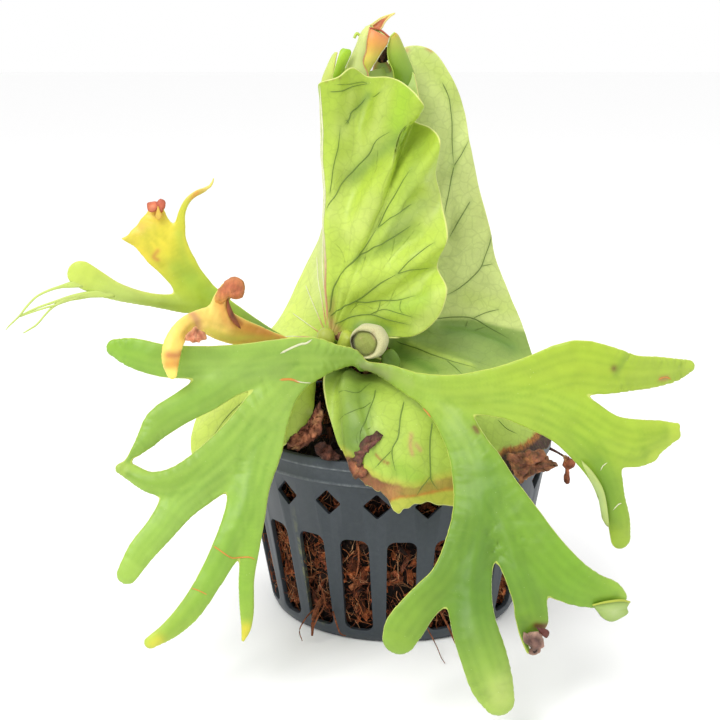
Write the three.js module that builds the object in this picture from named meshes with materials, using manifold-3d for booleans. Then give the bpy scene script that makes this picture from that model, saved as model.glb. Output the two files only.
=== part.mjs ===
// A staghorn fern in its slotted plastic basket.
// Millimetres, +Z up, the front of the plant faces -Y, origin at the centre of the basket's base.

import * as THREE from 'three';
import { mergeVertices } from 'three/addons/utils/BufferGeometryUtils.js';
import Module from 'manifold-3d';

const wasm = await Module();
wasm.setup();

// Driving dimensions

const GAP = 0.35; // air between pieces that touch
const NORMAL_STEP = 0.5; // how far apart a frond's depth is read to find its slope
const CUT_SHARE = 0.1; // the least share of a lattice edge that an outline cuts off

const BASKET = {
  rimRadius: 60,
  height: 72,
  bandBottom: 62.4,
  bandStep: 1,
  baseRadius: 46.3,
  wallRadiusAtFloor: 47.1,
  taper: 0.179,
  wall: 1.8,
  floor: 2,
  bays: 20,
  firstBay: 1.5, // degrees from the front, to the right
  segmentsPerBay: 2,
  slotWidth: 10.5,
  slotBottom: 4.65,
  slotTop: 41.6,
  slotCorner: 3,
  diamondWidth: 10,
  diamondBottom: 50.5,
  diamondTop: 60.3,
  drainHoles: 6,
  drainSides: 6,
  drainRadius: 4,
  drainCircle: 29,
};

const FILL = {
  around: 36,
  rows: 9,
  wallGap: 1.1,
  shoulderGap: 2.2,
  bottomGap: 5,
  bottomRow: 4,
  lumps: 2,
  lumpWaves: [5, 9],
  lumpTwists: [1.7, 2.3],
  moundTop: [-15, -14, 87.6],
  moundShoulder: 69,
  moundSpread: 1.1,
  moundRise: 0.9,
};

const RHIZOME = { centre: [-17, -17, 98.5], radii: [15, 12, 12] };

const FROND = {
  thickness: 1,
  grid: 4.45,
  fineGrid: 3.5,
  webBlend: 3.2,
  depthBlend: 3.5,
  channel: 1.6, // depth of the channel along a lobe
  channelWidth: 3,
  channelLimit: 1.5,
  shrink: 0.45,
};

const SHIELD = { thickness: 0.9, start: 0.07, crowding: 1.4, kneeAbove: 4, kneeBlend: 8, normalStep: 0.004 };

// Fertile fronds: each lobe is a line of points [x, y, z, half width], from its root to its tip

const FRONT_LOBES = {
  rightUpper: [
    [-12, -42, 102, 1.5], [-3, -50, 101, 3.5], [10, -60, 98, 5.5], [26, -68, 100, 6.8], [42, -73, 105, 8],
    [56, -76, 110.2, 9.2], [66, -76, 109, 8.4], [75, -74, 107.6, 6.4], [83, -71, 107.2, 5.6],
    [90, -68, 107.1, 4.3],
    [95, -65, 107.6, 2.6],
  ],
  rightMiddle: [
    [26, -68, 98, 6.5], [42, -74, 98, 8], [56, -78, 94, 8], [67, -80, 88, 7.4], [77, -80, 84.4, 8.4],
    [84.4, -79, 86.6, 6], [89.4, -78, 88.8, 3.2],
  ],
  rightHook: [
    [42, -74, 97, 8], [53, -78, 91, 7], [61.4, -81, 83.6, 7], [66.3, -83, 75.6, 5.8],
    [68.6, -84, 67.6, 4.7],
    [70.8, -84, 61, 4.2], [72, -82, 54, 3.8],
  ],
  rightInner: [
    [10, -60, 97, 5], [20, -70, 86, 6], [24, -80, 76, 7], [24, -89, 65, 7.5], [20, -96, 56, 7],
    [14, -101, 47, 6], [7, -104, 41, 6], [0.8, -107, 33.6, 6.7], [-0.8, -108, 30.2, 5.9],
  ],
  rightLowest: [
    [20, -70, 86, 6], [26, -82, 75, 8], [26, -91, 64, 8.5], [23, -99, 54, 7], [21.4, -106, 43, 7.3],
    [22.2, -111, 35.6, 7.5], [25, -116, 27.4, 7.6], [27.4, -120, 20.2, 7.1], [29.4, -121.6, 15.6, 5.4],
  ],
  rightSmall: [
    [26, -82, 75, 8], [32, -91, 63, 8.5], [36, -98, 52, 5.6], [39.7, -102, 43, 5.7], [40.7, -104, 37, 5.4],
    [41.4, -105, 31.6, 4.7],
  ],
  rightOuter: [
    [26, -82, 75, 8], [35.6, -90, 64.4, 8.2], [44.6, -96, 54, 8], [52.4, -99, 46.4, 7.9],
    [60.4, -100, 41, 7],
    [67.4, -100, 38.4, 5.8], [72, -99, 37, 3.9],
  ],
  leftUpper: [
    [-12, -42, 102, 1.5], [-16, -43, 105, 3.5], [-22, -46, 106, 5], [-30, -51, 107, 7],
    [-40, -55, 108, 6.5],
    [-53, -59, 108, 6], [-66, -62, 108.4, 5.7], [-79, -63, 109, 5.9], [-89, -62, 111.4, 5.4],
    [-94.6, -60, 112.4, 3.6],
  ],
  leftMiddle: [
    [-30, -51, 106, 7], [-43, -57, 106, 6.5], [-55, -62, 103, 6.5], [-64, -67, 98.2, 6],
    [-72, -71, 94.6, 5.5],
    [-79, -74, 90.6, 5.3], [-82.4, -76, 86.6, 3.7], [-85.6, -77, 82.6, 1.7],
  ],
  leftShort: [
    [-30, -51, 105, 5.5], [-38, -56, 98, 5.5], [-46, -64, 90, 7.5], [-54, -72, 83, 7],
    [-64, -78, 76.2, 6.7],
    [-73, -82, 73.2, 5.2], [-81, -84, 73.2, 3.8], [-87, -84, 75.6, 3], [-91, -84, 77.4, 2],
  ],
  leftLong: [
    [-46, -64, 90, 7.5], [-55, -73, 80, 8], [-64.6, -80, 71.8, 7.3], [-71.8, -85, 66.3, 6.3],
    [-77.8, -90, 59.4, 5.2],
    [-83.4, -94, 53.6, 4.8], [-87.6, -97, 47.2, 3.8],
  ],
  leftLowest: [
    [-43, -62, 92, 6.5], [-47, -71, 81, 8], [-50, -79, 70, 6.5], [-52, -84, 62, 6], [-57.2, -89, 51.2, 5.1],
    [-63.2, -93, 41, 4.4], [-69.2, -96, 33, 4.2], [-75.2, -98, 27.8, 3.4], [-80.6, -99, 24.8, 2.5],
  ],
  leftNarrow: [
    [-47, -71, 81, 7.5], [-49, -78, 70, 6], [-49, -82, 61, 5], [-49, -85, 52, 3.5], [-50.5, -88, 42, 3],
    [-50.6, -90, 35, 3], [-50.8, -91, 28.6, 3], [-51.6, -91, 22.8, 2.5],
  ],
};

const FRONT_STIPE = [[-12.5, -42.5, 101.8, 1.8], [-14.5, -35, 101.7, 1.9], [-17, -25, 99.8, 2]];

const UPPER_LOBES = {
  stalk: [
    [-31, -34, 105, 1.9], [-40, -34, 108.6, 2.3], [-48, -35, 113, 2.8], [-57, -36, 118.8, 3.6],
    [-65, -38, 123.8, 4.7],
    [-71, -38, 128, 5.8],
  ],
  point: [[-71, -38, 128, 5.4], [-76.4, -38, 136, 6], [-82.6, -38, 142.2, 5.9], [-88, -37, 144, 3.8],
    [-94, -36, 144, 1.4]],
  knob: [[-76, -38, 136.4, 6], [-81, -38, 143.6, 6.6], [-82.6, -37, 150, 4.6], [-83, -35, 154.6, 3.2]],
  horn: [
    [-71, -38, 129, 5], [-75, -38, 137, 4], [-75.6, -38, 145, 2.6], [-74.4, -37, 150.4, 2.2],
    [-72, -36, 156.4, 1.9],
    [-69.2, -34, 160.4, 1.6],
  ],
  hand: [[-65, -37, 123.6, 4], [-74, -39, 122.6, 3.5], [-85, -42, 124.8, 2.7], [-95, -44, 127.8, 3.4],
    [-101.6, -45, 130.8, 4.4],
    [-107.8, -46, 134.6, 5.1]],
};

const UPPER_THREADS = [
  [[-71.2, -36, 157.8, 1.6], [-68, -34, 160.6, 1.3], [-65.2, -32, 162.6, 0.9], [-63.4, -31, 165, 0.5]],
  [[-99, -45, 128.8, 1.6], [-109, -46, 129.4, 1.1], [-117, -47.5, 128.6, 0.8], [-124, -50, 124, 0.6],
    [-129, -51, 119, 0.5]],
  [[-96, -44.5, 126.8, 1.7], [-108, -46, 126.6, 1.1], [-118, -49, 124.8, 0.8], [-127, -52, 120.6, 0.6],
    [-132, -54, 116, 0.5]],
  [[-102, -46, 128, 1.4], [-110, -47, 126, 0.9], [-117, -48, 120.4, 0.6], [-127, -50, 113.4, 0.5]],
];

const UPPER_STALK = [
  [-19.5, -24.5, 99, 1.8], [-21.5, -28.5, 101, 1.8], [-26, -32.5, 103, 1.9], [-32, -34, 105.5, 2],
  [-37, -34, 108, 1.6],
];

const AGEING_LOBES = {
  strap: [
    [-34, -35, 105.5, 1.6], [-39, -38, 108.8, 2.6], [-48, -44, 112.4, 4.2], [-56, -52, 117.2, 4.8],
    [-62, -58, 121.4, 4.1],
    [-67, -63, 122.4, 3.4], [-71.2, -67, 120.6, 3.4], [-74.2, -70, 116, 3.6], [-75, -71.5, 111, 3.3],
    [-74.4, -72, 106.8, 2.1],
  ],
  knob: [[-57, -52, 119, 4], [-58.4, -53, 124.4, 3.5], [-57.4, -53.5, 128.4, 3.4], [-55.4, -53, 131, 3.2]],
};

// Shield fronds: a base point and a margin of points [x, y, z, outward bulge of the rib]

const FRONT_SHIELD = {
  base: [-24, -20, 105],
  around: 62,
  along: 5,
  margin: [
    [-3, -28, 109, 0], [6, -31, 110, 1], [14, -33, 117, 2], [17, -34, 127, 3], [14, -25, 134, 0],
    [17, -32, 145, 5],
    [15, -23, 158, 0], [13, -26, 168, 4], [14, -32, 178, 8], [11, -23, 182, 3], [5.5, -17, 184, -3],
    [8, -31, 191, 8],
    [2, -26, 197, 6], [-4, -17, 199, 0], [-11, -12, 199, -4], [-16, -14, 202, 2], [-21, -18, 199, 4],
    [-27, -16, 197, 6], [-26.4, -4, 193, 3], [-25.6, 8, 182, 0], [-25.6, 18, 165, 0], [-26.4, 24, 148, 0],
    [-29.4, 27, 134, 2], [-34.6, 25, 124, 2], [-39.6, 19, 114, 2], [-46, 10, 104, 3], [-55, 0, 97, 6],
    [-64.6, -12, 90, 9], [-70.2, -25, 83, 12], [-72.8, -37, 75, 14], [-71, -46, 69, 15], [-66, -52, 69, 16],
    [-59, -56, 69, 16], [-49, -58, 71, 16], [-41, -56, 76, 14], [-35, -52, 80, 11], [-30, -46, 85, 8],
    [-29, -38, 92, 5],
  ],
};

const BACK_SHIELD = {
  base: [-12, -17, 92],
  around: 46,
  along: 5,
  margin: [
    [-12, 13, 192, 0], [-3, 17, 203, 0], [4, 17, 208.2, 0], [12.6, 16, 207.2, 3], [20, 14, 198, 6],
    [25, 17, 187, 2],
    [27.4, 11, 173, 6], [30.4, 13, 160, 3], [35.4, 7, 141, 8], [38, 11, 130, 5], [42.2, 3, 119, 10],
    [46.4, -1, 109, 12],
    [50.6, -10, 97, 18], [58, -22, 83, 26], [57, -34, 70, 34], [45, -53, 66, 40], [31, -61, 62, 41],
    [17, -66, 58, 40], [9, -68, 61, 40], [-1, -69, 58, 40], [-8, -67, 63, 38], [-14, -63, 71, 34],
    [-18, -57, 76, 28], [-21, -47, 83, 18], [-22, -38, 90, 8],
  ],
};

const DRY_SHIELD = {
  base: [-14, -15, 89],
  around: 34,
  along: 7,
  knee: { radius: 67, z: 95 },
  margin: [
    [-11, -62, 67, 0], [-3, -64, 56, 0], [6, -64, 57, 0], [18, -62, 54, 0], [30, -58, 57, 0], [41, -51, 61, 0],
    [47.5, -41, 64, 0], [53.5, -31, 68, 0], [54, -20, 79, 12], [54, -8, 79, 18], [54, 8, 79, 20],
    [51, 22, 79, 18], [42, 36, 78, 18], [28, 47, 79, 18], [10, 53, 78, 18], [-8, 54, 80, 16], [-26, 48, 79, 14],
    [-42, 36, 80, 12], [-52, 20, 79, 12], [-54, 2, 79, 12], [-52, -16, 79, 12],
  ],
};

const ROLLED_SHIELD = {
  base: [-20, -14, 104],
  around: 12,
  along: 5,
  margin: [
    [8, -5, 190, 0], [5.4, -1, 202, 0], [1.6, 1, 210.5, 0], [-1, 1.6, 213.4, 0], [-6, -1, 206, 0],
    [-14, -4, 201, 0], [-19, -6, 207, 0], [-22, -6, 203, 0], [-23, -6, 194, 0],
  ],
};

const ROLL = {
  axis: [
    [-15, -6, 190, 3.4], [-14.7, -5, 200, 4.2], [-10.3, -3, 208, 4.8], [-8.6, -2, 212, 4.4],
    [-8.2, -1, 215, 2.8],
    [-2, 1, 219.6, 1.2],
  ],
  wrap: 300, // degrees that the rolled blade turns through
  opens: 75,
  tightening: 0.7, // how much smaller the scroll is at its inner end
  steps: 5,
  turns: 9,
};

const BUDS = {
  crozier: { centre: [-10, -38, 109.6], ring: 3.6, tube: 2.5, flatten: 0.92, sides: 7, around: 12 },
  crozierHeart: { centre: [-10, -37.4, 109.6], radii: [2.2, 1.6, 2.2], around: 8, rows: 5 },
  crozierNeck: [[-8, -37.5, 104.6, 1.9], [-8.5, -32, 103.6, 1.9], [-9.5, -24, 102.5, 2]],
  knob: { centre: [-25, -31, 109], radii: [3.1, 3.1, 3.3], around: 10, rows: 7 },
  knobNeck: [[-24.5, -30.5, 108.5, 1.5], [-23, -27.5, 106.5, 1.6], [-20.5, -24, 104, 1.7]],
  newShield: { centre: [-17.8, -30, 107.6], radii: [2.7, 4.5, 3.7], around: 10, rows: 7 },
};

const ROOTS = [
  [[-24, -34, 12, 1.4], [-29, -42, 13, 1.3], [-31, -47, 10, 1.1], [-33, -49, 5, 0.8]],
  [[8, -40, 14, 1.3], [14, -47, 12, 1.1], [17, -50, 9, 0.9], [20, -52, 3, 0.7]],
  [[22, 31, 24, 1.4], [27, 40, 25, 1.2], [31, 45, 22, 1], [32, 47, 15, 0.8]],
  [[-33, 23, 30, 1.4], [-40, 28, 31, 1.2], [-45, 31, 28, 1], [-47, 32, 20, 0.8]],
];

// Vectors and curves

const lerp = (a, b, t) => a + (b - a) * t;

const radians = (degrees) => (degrees * Math.PI) / 180;

function smoothPath(points) {
  const places = points.map((p) => new THREE.Vector3(p[0], p[1], p[2]));
  const curve = new THREE.CatmullRomCurve3(places, false, 'centripetal');
  return (t) => {
    const along = t * (points.length - 1);
    const index = Math.min(Math.floor(along), points.length - 2);
    return { place: curve.getPoint(t), value: lerp(points[index][3], points[index + 1][3], along - index) };
  };
}

// Solids

function closedGeometry(places, faces) {
  const geometry = new THREE.BufferGeometry();
  const numbers = places.flatMap((p) => [p.x, p.y, p.z]);
  geometry.setAttribute('position', new THREE.Float32BufferAttribute(numbers, 3));
  const volume = faces.reduce((sum, [a, b, c]) => sum + places[a].dot(places[b].clone().cross(places[c])), 0);
  geometry.setIndex(faces.flatMap(([a, b, c]) => (volume > 0 ? [a, b, c] : [a, c, b])));
  return geometry;
}

function solidFrom(geometry) {
  const bare = geometry.clone();
  bare.deleteAttribute('normal');
  bare.deleteAttribute('uv');
  const merged = mergeVertices(bare);
  const vertProperties = new Float32Array(merged.attributes.position.array);
  const triVerts = new Uint32Array(merged.index.array);
  return new wasm.Manifold(new wasm.Mesh({ numProp: 3, vertProperties, triVerts }));
}

function largestBody(solid) {
  return solid.decompose().reduce((best, body) => (body.volume() > best.volume() ? body : best));
}

function geometryFrom(solid) {
  const mesh = largestBody(solid).getMesh();
  const geometry = new THREE.BufferGeometry();
  geometry.setAttribute('position', new THREE.Float32BufferAttribute(Array.from(mesh.vertProperties), 3));
  geometry.setIndex(Array.from(mesh.triVerts));
  return geometry;
}

// A thin blade from a middle surface: both faces share one triangulation, and the edges are closed
function bladeSolid(places, normals, faces, thickness) {
  const half = thickness / 2;
  const front = places.map((p, i) => p.clone().addScaledVector(normals[i], half));
  const back = places.map((p, i) => p.clone().addScaledVector(normals[i], -half));
  const count = places.length;
  const shell = [];
  const edges = new Set(faces.flatMap(([a, b, c]) => [`${a},${b}`, `${b},${c}`, `${c},${a}`]));
  for (const [a, b, c] of faces) {
    shell.push([a, b, c], [a + count, c + count, b + count]);
    for (const [from, to] of [[a, b], [b, c], [c, a]]) {
      if (!edges.has(`${to},${from}`)) {
        shell.push([to, from, from + count], [to, from + count, to + count]);
      }
    }
  }
  return solidFrom(closedGeometry([...front, ...back], shell));
}

// A round tube through [x, y, z, radius] points
function tubeSolid(points, steps, sides) {
  const path = smoothPath(points);
  const near = 0.01;
  const places = [];
  const faces = [];
  const frame = new THREE.Matrix4();
  for (let i = 0; i <= steps; i += 1) {
    const { place, value } = path(i / steps);
    const ahead = path(Math.min(i / steps + near, 1)).place.sub(path(Math.max(i / steps - near, 0)).place);
    const side = new THREE.Vector3(0, 0, 1).cross(ahead).normalize();
    frame.makeBasis(side, ahead.clone().normalize().cross(side), ahead.clone().normalize());
    for (let k = 0; k < sides; k += 1) {
      const turn = (2 * Math.PI * k) / sides;
      const offset = new THREE.Vector3(Math.cos(turn) * value, Math.sin(turn) * value, 0);
      places.push(place.clone().add(offset.applyMatrix4(frame)));
    }
  }
  for (let i = 0; i < steps; i += 1) {
    for (let k = 0; k < sides; k += 1) {
      const a = i * sides + k;
      const b = i * sides + ((k + 1) % sides);
      faces.push([a, b, b + sides], [a, b + sides, a + sides]);
    }
  }
  const last = steps * sides;
  for (let k = 1; k < sides - 1; k += 1) {
    faces.push([0, k + 1, k], [last, last + k, last + k + 1]);
  }
  return solidFrom(closedGeometry(places, faces));
}

function ellipsoidSolid(centre, radii, around = 16, rows = 10) {
  const geometry = new THREE.SphereGeometry(1, around, rows);
  geometry.scale(...radii);
  geometry.rotateX(Math.PI / 2);
  geometry.translate(...centre);
  return solidFrom(geometry);
}

// Basket

function wallRadius(z) {
  return BASKET.wallRadiusAtFloor + BASKET.taper * z;
}

function basketProfile() {
  const { rimRadius, height, bandBottom, bandStep, baseRadius, wall, floor } = BASKET;
  const outer = [
    [0, 0], [baseRadius, 0], [wallRadius(3), 3], [wallRadius(bandBottom), bandBottom],
    [rimRadius - 0.6, bandBottom + bandStep], [rimRadius, height],
  ];
  const inner = [
    [rimRadius - wall, height], [wallRadius(bandBottom) - wall, bandBottom - 1],
    [wallRadius(floor) - wall, floor], [0, floor],
  ];
  return [...outer, ...inner].map(([r, z]) => new THREE.Vector2(r, z));
}

function slotOutline() {
  const { slotWidth, slotBottom, slotTop, slotCorner } = BASKET;
  const side = slotWidth / 2;
  const shape = new THREE.Shape();
  shape.moveTo(side, slotBottom + slotCorner);
  shape.lineTo(side, slotTop - slotCorner);
  shape.absarc(side - slotCorner, slotTop - slotCorner, slotCorner, 0, Math.PI / 2);
  shape.lineTo(slotCorner - side, slotTop);
  shape.absarc(slotCorner - side, slotTop - slotCorner, slotCorner, Math.PI / 2, Math.PI);
  shape.lineTo(-side, slotBottom + slotCorner);
  shape.absarc(slotCorner - side, slotBottom + slotCorner, slotCorner, Math.PI, 1.5 * Math.PI);
  shape.lineTo(side - slotCorner, slotBottom);
  shape.absarc(side - slotCorner, slotBottom + slotCorner, slotCorner, 1.5 * Math.PI, 2 * Math.PI);
  return shape;
}

function diamondOutline() {
  const { diamondWidth, diamondBottom, diamondTop } = BASKET;
  const middle = (diamondBottom + diamondTop) / 2;
  const side = diamondWidth / 2;
  const corners = [[0, diamondBottom], [side, middle], [0, diamondTop], [-side, middle]];
  return new THREE.Shape(corners.map(([x, y]) => new THREE.Vector2(x, y)));
}

// A radial cutter: the outline stands upright and faces the given direction from the front
function radialCutter(outline, degrees) {
  const reach = 40;
  const options = { depth: reach, bevelEnabled: false, curveSegments: 1 };
  const geometry = new THREE.ExtrudeGeometry(outline, options);
  geometry.rotateX(Math.PI / 2);
  geometry.translate(0, -BASKET.baseRadius + reach / 2, 0);
  geometry.rotateZ(radians(degrees));
  return solidFrom(geometry);
}

function drainCutter(degrees) {
  const { drainRadius, drainSides, drainCircle, floor } = BASKET;
  const geometry = new THREE.CylinderGeometry(drainRadius, drainRadius, 3 * floor, drainSides);
  geometry.rotateX(Math.PI / 2);
  geometry.translate(0, -drainCircle, 0);
  geometry.rotateZ(radians(degrees));
  return solidFrom(geometry);
}

function basketGeometry() {
  const { bays, firstBay, segmentsPerBay, drainHoles } = BASKET;
  const shell = new THREE.LatheGeometry(basketProfile(), bays * segmentsPerBay);
  shell.rotateX(Math.PI / 2);
  let solid = solidFrom(shell);
  for (let bay = 0; bay < bays; bay += 1) {
    const degrees = firstBay + (360 * bay) / bays;
    const between = degrees + 180 / bays;
    solid = solid.subtract(radialCutter(slotOutline(), degrees));
    solid = solid.subtract(radialCutter(diamondOutline(), between));
  }
  for (let hole = 0; hole < drainHoles; hole += 1) {
    solid = solid.subtract(drainCutter((360 * hole) / drainHoles));
  }
  return geometryFrom(solid);
}

// Bark and root fill, with the mound that the plant sits on

function insideRadius(z, gap) {
  return wallRadius(z) - BASKET.wall - gap;
}

// Half of the rings fill the basket, and the other half draw in to the top of the mound
function fillRing(level) {
  const { moundTop, moundShoulder } = FILL;
  if (level <= 0.5) {
    const z = lerp(BASKET.floor + GAP + FILL.bottomRow, moundShoulder, level * 2);
    return { x: 0, y: 0, z, radius: insideRadius(z, FILL.wallGap), lumps: FILL.lumps };
  }
  const rise = (level - 0.5) * 2;
  const radius = lerp(insideRadius(moundShoulder, FILL.shoulderGap), 0, rise ** FILL.moundSpread);
  const z = lerp(moundShoulder, moundTop[2], rise ** FILL.moundRise);
  return { x: moundTop[0] * rise, y: moundTop[1] * rise, z, radius, lumps: FILL.lumps * (1 - rise) };
}

function fillLump(angle, row) {
  const [first, second] = FILL.lumpWaves;
  const [firstTwist, secondTwist] = FILL.lumpTwists;
  const wave = Math.sin(first * angle + row * firstTwist);
  return Math.abs(wave * Math.cos(second * angle - row * secondTwist + 1));
}

function fillGeometry(rhizomeCut) {
  const places = [];
  const faces = [];
  const { around: turn, rows } = FILL;
  for (let row = 0; row < rows; row += 1) {
    const ring = fillRing(row / rows);
    for (let k = 0; k < turn; k += 1) {
      const angle = (2 * Math.PI * k) / turn;
      const radius = ring.radius - ring.lumps * fillLump(angle, row);
      const offset = new THREE.Vector3(radius * Math.cos(angle), radius * Math.sin(angle), 0);
      places.push(offset.add(new THREE.Vector3(ring.x, ring.y, ring.z)));
    }
  }
  for (let row = 0; row < rows - 1; row += 1) {
    for (let k = 0; k < turn; k += 1) {
      const a = row * turn + k;
      const b = row * turn + ((k + 1) % turn);
      faces.push([a, b, b + turn], [a, b + turn, a + turn]);
    }
  }
  const bottom = places.push(new THREE.Vector3(0, 0, BASKET.floor + GAP)) - 1;
  const bottomRing = places.length;
  const bottomRadius = insideRadius(BASKET.floor, FILL.bottomGap);
  for (let k = 0; k < turn; k += 1) {
    const angle = (2 * Math.PI * k) / turn;
    const place = [bottomRadius * Math.cos(angle), bottomRadius * Math.sin(angle), BASKET.floor + GAP];
    places.push(new THREE.Vector3(...place));
  }
  const top = places.push(new THREE.Vector3(...FILL.moundTop)) - 1;
  const lastRing = (rows - 1) * turn;
  for (let k = 0; k < turn; k += 1) {
    const next = (k + 1) % turn;
    faces.push([bottom, bottomRing + next, bottomRing + k]);
    faces.push([bottomRing + k, bottomRing + next, next], [bottomRing + k, next, k]);
    faces.push([top, lastRing + k, lastRing + next]);
  }
  let solid = solidFrom(closedGeometry(places, faces)).subtract(rhizomeCut);
  for (const root of ROOTS) {
    solid = solid.add(tubeSolid(root, 5, 5));
  }
  return geometryFrom(solid);
}

// Fertile fronds: lobes joined by a smooth outline in the upright plane, with blended depths

function nearestOnLobe(lobe, x, z) {
  let best = { edge: Infinity, depth: 0 };
  for (let i = 0; i + 1 < lobe.length; i += 1) {
    const [ax, ay, az, ar] = lobe[i];
    const [bx, by, bz, br] = lobe[i + 1];
    const length2 = (bx - ax) ** 2 + (bz - az) ** 2;
    const t = Math.min(Math.max(((x - ax) * (bx - ax) + (z - az) * (bz - az)) / length2, 0), 1);
    const away = Math.hypot(x - lerp(ax, bx, t), z - lerp(az, bz, t));
    const width = lerp(ar, br, t);
    if (away - width < best.edge) {
      const spread = (away / Math.max(width, FROND.channelWidth)) ** 2;
      const cup = FROND.channel * Math.min(spread, FROND.channelLimit);
      best = { edge: away - width, depth: lerp(ay, by, t) + cup };
    }
  }
  return best;
}

function frondField(lobes) {
  const list = Object.values(lobes);
  return (x, z) => {
    let smooth = 0;
    let weights = 0;
    let depth = 0;
    for (const lobe of list) {
      const near = nearestOnLobe(lobe, x, z);
      smooth += Math.exp(-near.edge / (FROND.webBlend / 3));
      const weight = Math.exp(-near.edge / FROND.depthBlend);
      weights += weight;
      depth += weight * near.depth;
    }
    return { inside: (Math.log(smooth) * FROND.webBlend) / 3 - FROND.shrink, depth: depth / weights };
  };
}

function fieldNormal(field, x, z) {
  const slopeX = (field(x + NORMAL_STEP, z).depth - field(x - NORMAL_STEP, z).depth) / (2 * NORMAL_STEP);
  const slopeZ = (field(x, z + NORMAL_STEP).depth - field(x, z - NORMAL_STEP).depth) / (2 * NORMAL_STEP);
  return new THREE.Vector3(slopeX, -1, slopeZ).normalize();
}

// The outline is cut out of a lattice of triangles
function frondSheet(lobes, grid) {
  const field = frondField(lobes);
  const points = Object.values(lobes).flat();
  const lowX = Math.min(...points.map((p) => p[0] - p[3])) - grid;
  const lowZ = Math.min(...points.map((p) => p[2] - p[3])) - grid;
  const columns = Math.ceil((Math.max(...points.map((p) => p[0] + p[3])) - lowX) / grid) + 2;
  const rowStep = (grid * Math.sqrt(3)) / 2;
  const rows = Math.ceil((Math.max(...points.map((p) => p[2] + p[3])) - lowZ) / rowStep) + 2;
  const flat = [];
  const known = new Map();
  const faces = [];
  const node = (i, j) => {
    const x = lowX + (i + (j % 2) / 2) * grid;
    const z = lowZ + j * rowStep;
    return { key: `${i},${j}`, x, z, inside: field(x, z).inside };
  };
  const vertex = (key, x, z) => {
    if (!known.has(key)) {
      known.set(key, flat.push([x, z]) - 1);
    }
    return known.get(key);
  };
  const crossing = (a, b) => {
    const [p, q] = a.key < b.key ? [a, b] : [b, a];
    const t = THREE.MathUtils.clamp(p.inside / (p.inside - q.inside), CUT_SHARE, 1 - CUT_SHARE);
    return vertex(`${p.key};${q.key}`, lerp(p.x, q.x, t), lerp(p.z, q.z, t));
  };
  const cut = (corners) => {
    const ring = [];
    corners.forEach((corner, i) => {
      const next = corners[(i + 1) % 3];
      if (corner.inside > 0) ring.push(vertex(corner.key, corner.x, corner.z));
      if (corner.inside > 0 !== next.inside > 0) ring.push(crossing(corner, next));
    });
    for (let i = 1; i + 1 < ring.length; i += 1) {
      faces.push([ring[0], ring[i], ring[i + 1]]);
    }
  };
  for (let j = 0; j < rows; j += 1) {
    const shift = j % 2;
    for (let i = 0; i < columns; i += 1) {
      cut([node(i, j), node(i + 1, j), node(i + shift, j + 1)]);
      cut([node(i + 1, j), node(i + 1 + shift, j + 1), node(i + shift, j + 1)]);
    }
  }
  const places = flat.map(([x, z]) => new THREE.Vector3(x, field(x, z).depth, z));
  const normals = flat.map(([x, z]) => fieldNormal(field, x, z));
  return bladeSolid(places, normals, faces, FROND.thickness);
}

function frontFrondGeometry(rhizomeCut) {
  const solid = frondSheet(FRONT_LOBES, FROND.grid).add(tubeSolid(FRONT_STIPE, 3, 8));
  return geometryFrom(solid.subtract(rhizomeCut));
}

function upperFrondGeometry(rhizomeCut) {
  let solid = frondSheet(UPPER_LOBES, FROND.fineGrid).add(frondSheet(AGEING_LOBES, FROND.fineGrid));
  solid = solid.add(tubeSolid(UPPER_STALK, 6, 7));
  for (const thread of UPPER_THREADS) {
    solid = solid.add(tubeSolid(thread, 5, 4));
  }
  return geometryFrom(solid.subtract(rhizomeCut));
}

// Shield fronds: ribs fan out from the base to a waved margin

const POT_CORE = new THREE.Vector3(0, 0, 60);

// A rib whose end hangs below the rim bends over a knee outside it
function kneePoint(place, knee) {
  const reach = knee.radius / Math.hypot(place.x, place.y);
  return new THREE.Vector3(place.x * reach, place.y * reach, knee.z);
}

function shieldSurface(shield) {
  const base = new THREE.Vector3(...shield.base);
  const margin = smoothPath(shield.margin);
  return (a, r) => {
    const { place, value } = margin(a);
    const drop = (BASKET.height + SHIELD.kneeAbove - place.z) / SHIELD.kneeBlend;
    const rib = place.clone().sub(base);
    const middle = base.clone().addScaledVector(rib, 0.5);
    const outward = middle.clone().sub(POT_CORE);
    outward.addScaledVector(rib, -outward.dot(rib) / rib.lengthSq()).normalize();
    const control = middle.addScaledVector(outward, value);
    if (shield.knee) {
      control.lerp(kneePoint(place, shield.knee), THREE.MathUtils.clamp(drop, 0, 1));
    }
    const spot = base.clone().multiplyScalar((1 - r) ** 2);
    spot.addScaledVector(control, 2 * r * (1 - r));
    return spot.addScaledVector(place, r ** 2);
  };
}

function shieldSheet(shield) {
  const surface = shieldSurface(shield);
  const { around, along } = shield;
  const places = [];
  const normals = [];
  const faces = [];
  const step = SHIELD.normalStep;
  for (let i = 0; i <= around; i += 1) {
    for (let j = 0; j <= along; j += 1) {
      const a = i / around;
      const r = lerp(SHIELD.start, 1, 1 - (1 - j / along) ** SHIELD.crowding);
      const across = surface(Math.min(a + step, 1), r).sub(surface(Math.max(a - step, 0), r));
      const outward = surface(a, Math.min(r + step, 1)).sub(surface(a, r - step));
      places.push(surface(a, r));
      normals.push(across.cross(outward).normalize());
    }
  }
  for (let i = 0; i < around; i += 1) {
    for (let j = 0; j < along; j += 1) {
      const p = i * (along + 1) + j;
      const q = p + along + 1;
      faces.push([p, q, q + 1], [p, q + 1, p + 1]);
    }
  }
  return bladeSolid(places, normals, faces, SHIELD.thickness);
}

function shieldGeometry(shield, rhizomeCut) {
  return geometryFrom(shieldSheet(shield).subtract(rhizomeCut));
}

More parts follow.
